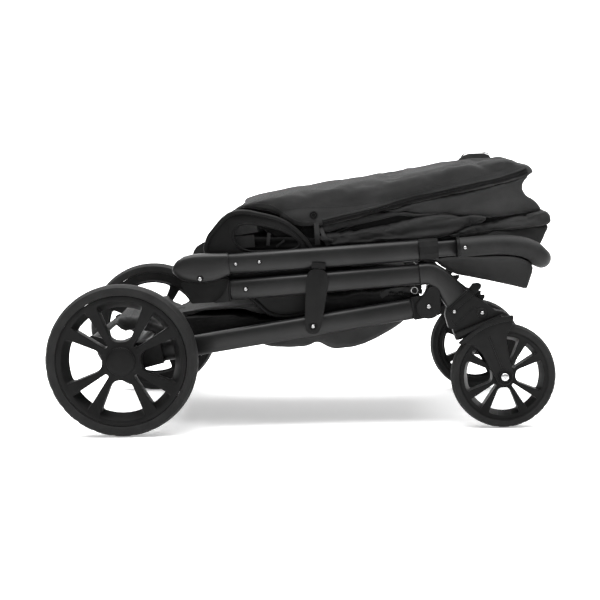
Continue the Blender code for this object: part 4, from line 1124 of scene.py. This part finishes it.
def build_basket():
    """The flattened basket: a mesh bag that sags below the base tubes, with its walls folded up."""
    centre = at(-0.75, -0.03)
    soft_piece("basket_shell", [(-0.33, -0.056), (-0.325, -0.07), (-0.29, -0.075), (-0.23, -0.0745),
        (-0.215, -0.069), (-0.195, -0.074), (-0.17, -0.079), (-0.14, -0.077), (-0.105, -0.065),
        (-0.08, -0.05), (-0.05, -0.033), (-0.046, -0.02), (-0.09, -0.015), (-0.2, -0.027), (-0.3, -0.043)],
        0.225, "black_cloth", "base_frame", ("basket",), edge=0.008, slack=0.05, pressure=2.0, cap=0.006,
        frames=CLOTH_FRAMES, folds=lambda p: 0.0045 * noise.noise(Vector((p.x * 34, p.y * 12, p.z * 20))))
    soft_piece("basket_wall", [(-0.21, -0.03), (-0.208, 0.008), (-0.15, 0.017), (-0.07, 0.026),
        (-0.02, 0.024), (-0.015, 0.002), (-0.03, -0.01), (-0.1, -0.014)], 0.22, "black_mesh", "base_frame",
        edge=0.006, folds=lambda p: 0.002 * math.sin(p.z * 300 + p.x * 60))
    soft_piece("basket_folds", [(-0.49, -0.025), (-0.46, -0.018), (-0.4, -0.016), (-0.35, -0.02),
        (-0.3, -0.029), (-0.25, -0.03), (-0.25, -0.042), (-0.33, -0.045), (-0.4, -0.052), (-0.47, -0.058),
        (-0.5, -0.05)], 0.218, "black_mesh", "base_frame", edge=0.006, voxel=0.004,
        folds=lambda p: ridges(p, centre, 110, 0.003, 1.5))
    soft_piece("cabin_floor", [(-0.485, -0.009), (-0.44, -0.002), (-0.39, 0.003), (-0.33, 0.005),
        (-0.285, 0.007), (-0.255, 0.006), (-0.23, -0.016), (-0.27, -0.022), (-0.32, -0.014),
        (-0.37, -0.007), (-0.43, -0.011), (-0.47, -0.016)], 0.206, "black_cloth", "front_frame", edge=0.005,
        voxel=0.004, folds=lambda p: streaks(p, centre, 60, 5, 0.005))
    soft_piece("basket_rear_fold", [(-0.608, -0.03), (-0.598, -0.019), (-0.578, -0.015), (-0.56, -0.02),
        (-0.548, -0.013), (-0.535, -0.02), (-0.515, -0.033), (-0.498, -0.028), (-0.478, -0.035),
        (-0.478, -0.048), (-0.505, -0.056), (-0.535, -0.048), (-0.57, -0.043), (-0.595, -0.044)], 0.202,
        "black_cloth", "base_frame", edge=0.005, voxel=0.004, slack=0.08, pressure=1.5, cap=0.008,
        frames=CLOTH_FRAMES, folds=lambda p: 0.0042 * noise.noise(Vector((p.x * 40, p.y * 22,
        p.z * 50))) + streaks(p, at(-0.8, 0.1), 90, 7, 0.005))


def surface_of(pieces):
    """A ray test against finished soft pieces."""
    verts, faces = [], []
    for piece in pieces:
        start = len(verts)
        verts += [v.co.copy() for v in piece.data.vertices]
        faces += [[start + i for i in polygon.vertices] for polygon in piece.data.polygons]
    return BVHTree.FromPolygons(verts, faces)


def on_side(surface, point, side, gap=0.0, otherwise=0.2):
    """The outermost cloth at a side-elevation point, from the left or right."""
    hit, _, _, _ = surface.ray_cast(Vector((point[0], side * 0.32, point[1])), Vector((0, -side, 0)))
    y = hit.y if hit and hit.y * side > 0.17 else side * otherwise
    return Vector((point[0], y + side * gap, point[1]))


def ribbon(path, outward, width, thickness):
    """A flat strip along a path; outward gives the way its face looks at each point."""
    rings = []
    for i, point in enumerate(path):
        heading = (path[min(i + 1, len(path) - 1)] - path[max(i - 1, 0)]).normalized()
        face = outward(point).normalized()
        across = heading.cross(face).normalized()
        lift = face * (thickness / 2)
        middle = point + lift
        edge = across * (width / 2)
        soft = across * (width / 2 - thickness * 0.4)
        rings.append([middle + soft + lift, middle + edge, middle + soft - lift, middle - soft - lift,
            middle - edge, middle - soft + lift])
    return loft(rings)


def relaxed(points, rounds):
    """Average out the small bumps of a projected line."""
    for _ in range(rounds):
        inner = [(a + b * 2 + c) / 4 for a, b, c in zip(points, points[1:], points[2:])]
        points = [points[0], *inner, points[-1]]
    return points


def cloth_line(pieces, offsets, side, count, gap=0.0):
    """A side-elevation line laid on the outside of some soft pieces."""
    surface = surface_of([SOFT_PIECES[name] for name in pieces])
    path = smooth_path([flat(at(*p), 0) for p in offsets], count)
    return relaxed([on_side(surface, (p.x, p.z), side, gap) for p in path], 3)


def corded(name, side, pieces, offsets, radius, body, material="black_cloth"):
    """Piping or a stitched seam; with no body it is left unattached, its transform baked into its mesh."""
    points = cloth_line(pieces, offsets, side, max(30, 20 * len(offsets)))
    piece = make_side(name, side, swept(points, radius, 8), material, body, 60)
    if body is None:
        between_hood_ends(piece)


def build_trim():
    """Zip bands, piping, stitching, snaps, gathers and the webbing patches."""
    for side in SIDES:
        outward = lambda p, s=side: Vector((0, s, 0))
        middle = [((a[0] + b[0]) / 2, (a[1] + b[1]) / 2) for a, b in zip(ZIP_UPPER, ZIP_LOWER)]
        points = cloth_line(("hood_shell", "hood_gusset"), middle, side, 70, 0.0002)
        band = make_side("zip_band", side, ribbon(points, outward, 0.011, 0.0012), "zip_tape", None, 50)
        between_hood_ends(band)
        coil = make_side("zip_coil", side, swept([p + Vector((0, side * 0.0012, 0)) for p in points],
            0.0011, 6), "gloss_plastic", None, 60)
        between_hood_ends(coil)
        both = ("hood_shell", "hood_gusset", "pleat_upper")
        corded("zip_piping_upper", side, both, ZIP_UPPER, 0.0021, None)
        corded("zip_piping_lower", side, both, ZIP_LOWER, 0.0021, None)
        corded("hood_seam", side, ("hood_shell",), ((-0.2696, 0.189), (-0.2311, 0.1905), (-0.1611, 0.1919),
            (-0.1052, 0.1981), (-0.0212, 0.216), (0.0626, 0.2374), (0.15, 0.257)), 0.0008, None)
        corded("flap_hem", side, ("hood_shell",), ((-0.33, 0.199), (-0.301, 0.1965), (-0.277, 0.183),
            (-0.26, 0.17), (-0.2385, 0.162), (-0.215, 0.164)), 0.0009, None)
        corded("gusset_piping", side, ("hood_gusset", "pleat_upper"), ((-0.0774, 0.1837), (-0.0215, 0.178),
            (0.0623, 0.1735), (0.1181, 0.1668), (0.153, 0.1672), (0.1879, 0.1738), (0.222, 0.1775)), 0.0011,
            None)
        corded("roll_piping", side, ("rim_roll", "front_valance"), ((0.0621, 0.1335), (0.11, 0.139),
            (0.153, 0.144), (0.2, 0.1485), (0.237, 0.152)), 0.0012, "front_frame")
        corded("tub_piping", side, ("cabin_tub_shell",), ((0.04, 0.068), (0.0583, 0.0583), (0.1003, 0.0497),
            (0.1634, 0.0352), (0.19, 0.029), (0.1955, 0.033), (0.2045, 0.061)), 0.0011, "front_frame")
        snap = cloth_line(("hood_shell",), ((-0.2173, 0.1753), (-0.217, 0.1753)), side, 4)[0]
        button = [(0.0078, snap.y - side * 0.001), (0.0078, snap.y + side * 0.0012),
            (0.0066, snap.y + side * 0.0028), (0.004, snap.y + side * 0.0028), (0.0034,
            snap.y + side * 0.0014)]
        stud = make_side("hood_snap", side, turned(button, (snap.x, snap.z), 28), "gloss_plastic", None, 35)
        between_hood_ends(stud)
        build_gather(side, outward)
        build_patches(side, outward)


def build_gather(side, outward):
    """The short strap ends where the pleats are sewn together behind the side plate."""
    for i, (start, end, width) in enumerate((((-0.212, 0.16), (-0.21, 0.118), 0.01),
            ((-0.204, 0.15), (-0.19, 0.116), 0.008), ((-0.21, 0.133), (-0.18, 0.125), 0.007))):
        path = [flat(at(*start), side * 0.2025), flat(at(*start).lerp(at(*end), 0.5), side * 0.207),
            flat(at(*end), side * 0.203)]
        make_side(f"gather_strap_{i}", side, ribbon(smooth_path(path, 12), outward, width, 0.0016),
            "webbing", "front_frame", 50)


def build_patches(side, outward):
    """Webbing and folded cloth behind the side plate's window, and a strap on the basket."""
    y = side * 0.203
    for i, (start, end, width, material) in enumerate((((-0.372, 0.148), (-0.327, 0.154), 0.02, "webbing"),
            ((-0.374, 0.124), (-0.332, 0.127), 0.024, "black_cloth"), ((-0.306, 0.118), (-0.304, 0.142),
            0.007, "webbing"), ((-0.29, 0.115), (-0.274, 0.128), 0.004, "webbing"))):
        path = [flat(at(*start), y), flat(at(*start).lerp(at(*end), 0.5), y + side * 0.0012),
            flat(at(*end), y)]
        make_side(f"window_patch_{i}", side, ribbon(smooth_path(path, 10), outward, width, 0.0016),
            material, "front_frame", 50)
    path = [flat(at(*p), side * 0.2235) for p in ((-0.09, 0.018), (-0.07, 0.028), (-0.04, 0.03),
        (-0.01, 0.026))]
    make_side("basket_strap", side, ribbon(smooth_path(path, 16), outward, 0.01, 0.0016), "webbing",
        "base_frame", 50)
    ring = [flat(at(-0.025, 0.029) + polar(0.0062, 2 * math.pi * k / 20), side * 0.2262) for k in range(20)]
    make_side("strap_ring", side, closed_bead(ring, 0.0014, 8), "bright_steel", "base_frame", 60)
    for i, x in enumerate((-0.074, -0.056)):
        buckle = [at(x, 0.02), at(x + 0.009, 0.02), at(x + 0.009, 0.027), at(x, 0.027)]
        make_side(f"strap_buckle_{i}", side, bevelled(slab(buckle, side * 0.224, side * 0.2275), 0.0008, 2),
            "gloss_plastic", "base_frame", 40)


def build_bow():
    """The hood's spring-steel bow in its sleeve, just inside the cloth, with its riveted ends."""
    _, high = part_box("canopy_bow")
    top = Vector((high.x - 0.006, high.z - 0.0065))
    legs = []
    for side in SIDES:
        y = side * 0.19
        legs.append([flat(HUB, y), flat(HUB.lerp(top, 0.5), y), flat(HUB.lerp(top, 0.93), y),
            flat(HUB.lerp(top, 0.985), side * 0.18), flat(top, side * 0.156)])
    path = legs[0] + [flat(top, 0.05), flat(top, -0.05)] + legs[1][::-1]
    make("canopy_bow_rod", swept(smooth_path(path, 90), 0.0042, 12), "gloss_plastic", "canopy_bow", 50,
        ("canopy_bow",))
    for side in SIDES:
        eye = [(0.007, side * 0.1865), (0.007, side * 0.199), (0.0055, side * 0.2)]
        make_side("bow_eye", side, turned(eye, HUB, 32), "gloss_plastic", "canopy_bow", 40)


def build_tab():
    """A padded webbing pull on the middle of the hood's bow."""
    low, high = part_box("canopy_tab")
    middle = (low.x + high.x) / 2
    shape = [(low.x + 0.001, low.z), (high.x - 0.002, low.z), (high.x, low.z + 0.004),
        (high.x - 0.006, high.z - 0.004), (high.x - 0.016, high.z), (low.x + 0.022, high.z - 0.0005),
        (low.x + 0.009, high.z - 0.005), (low.x, low.z + 0.005)]
    pad = bevelled(slab([Vector(p) for p in shape], -0.0135, 0.0135), 0.0028, 3)
    make("canopy_tab_pad", pad, "webbing", "canopy_bow", 40, ("canopy_tab",))
    loop = [Vector((low.x + 0.004, 0, low.z + 0.003)), Vector((low.x + 0.01, 0, high.z - 0.003)),
        Vector((low.x + 0.024, 0, high.z + 0.0008)), Vector((high.x - 0.018, 0, high.z + 0.001)),
        Vector((high.x - 0.006, 0, high.z - 0.002))]
    outward = lambda p: Vector((p.x - middle, 0, 0.035))
    make("canopy_tab_strap", ribbon(smooth_path(loop, 24), outward, 0.018, 0.0014), "webbing", "canopy_bow",
        50)


# ---------------------------------------------------------------- stage
CAMERA_PLACE = (0.02447, -3.01385, 0.51318)
CAMERA_YAW = 0.00987
CAMERA_TILT = 0.09437
CAMERA_ROLL = -0.01474
CAMERA_LENS = 87.23
SENSOR_WIDTH = 36
WORLD_LIGHT = 0.36
FLOOR_GLOW = 0.35
BACKDROP_GLOW = 0.8


def build_camera():
    data = bpy.data.cameras.new("camera")
    data.lens = CAMERA_LENS
    data.sensor_width = SENSOR_WIDTH
    camera = bpy.data.objects.new("camera", data)
    bpy.context.scene.collection.objects.link(camera)
    turn = Matrix.Rotation(CAMERA_YAW, 4, "Z") @ Matrix.Rotation(math.pi / 2 - CAMERA_TILT, 4, "X")
    camera.matrix_world = Matrix.Translation(CAMERA_PLACE) @ turn @ Matrix.Rotation(CAMERA_ROLL, 4, "Z")
    bpy.context.scene.camera = camera


def area_light(name, place, target, size, power):
    data = bpy.data.lights.new(name, "AREA")
    data.shape = "RECTANGLE"
    data.size, data.size_y = size
    data.energy = power
    lamp = bpy.data.objects.new(name, data)
    lamp.location = place
    lamp.rotation_euler = (Vector(target) - Vector(place)).to_track_quat("-Z", "Y").to_euler()
    bpy.context.scene.collection.objects.link(lamp)


def staged(name, corners, material):
    mesh = bmesh.new()
    mesh.faces.new([mesh.verts.new(corner) for corner in corners])
    data = bpy.data.meshes.new(name)
    mesh.to_mesh(data)
    mesh.free()
    piece = bpy.data.objects.new(name, data)
    bpy.context.scene.collection.objects.link(piece)
    data.materials.append(material)


def build_stage():
    """A pale floor and a lit white paper wall, under a broad softbox and a narrow strip."""
    recipe = Recipe("floor", 0.9)
    recipe.colour(recipe.noise(3, 2), grey(0.93), grey(0.95))
    recipe.shader.inputs["Emission Color"].default_value = (1, 1, 1, 1)
    recipe.shader.inputs["Emission Strength"].default_value = FLOOR_GLOW
    staged("floor", [(-9, -8, 0), (9, -8, 0), (9, 6, 0), (-9, 6, 0)], recipe.material)
    paper = Recipe("backdrop", 0.9)
    paper.colour(paper.noise(3, 2), grey(0.9), grey(0.92))
    paper.shader.inputs["Emission Color"].default_value = (1, 1, 1, 1)
    paper.shader.inputs["Emission Strength"].default_value = BACKDROP_GLOW
    staged("backdrop", [(-9, 6, 0), (9, 6, 0), (9, 6, 5), (-9, 6, 5)], paper.material)
    world = bpy.data.worlds.new("studio")
    world.use_nodes = True
    world.node_tree.nodes["Background"].inputs["Color"].default_value = (1, 1, 1, 1)
    world.node_tree.nodes["Background"].inputs["Strength"].default_value = WORLD_LIGHT
    bpy.context.scene.world = world
    bpy.context.scene.view_settings.view_transform = "Standard"
    area_light("softbox", (0, 0.6, 3.8), (0, 0.6, 0), (7, 6), 640)
    area_light("strip", (-0.3, -1.0, 2.4), (0, 0, 0.25), (1.8, 0.3), 24)


dress_frame()
build_wheels()
build_tubes()
build_knuckles()
build_elbow()
build_side_plates()
build_latch()
build_casters()
build_grip()
build_hood()
build_pleats()
build_cabin()
build_trim()
build_bow()
build_tab()
build_camera()
build_stage()
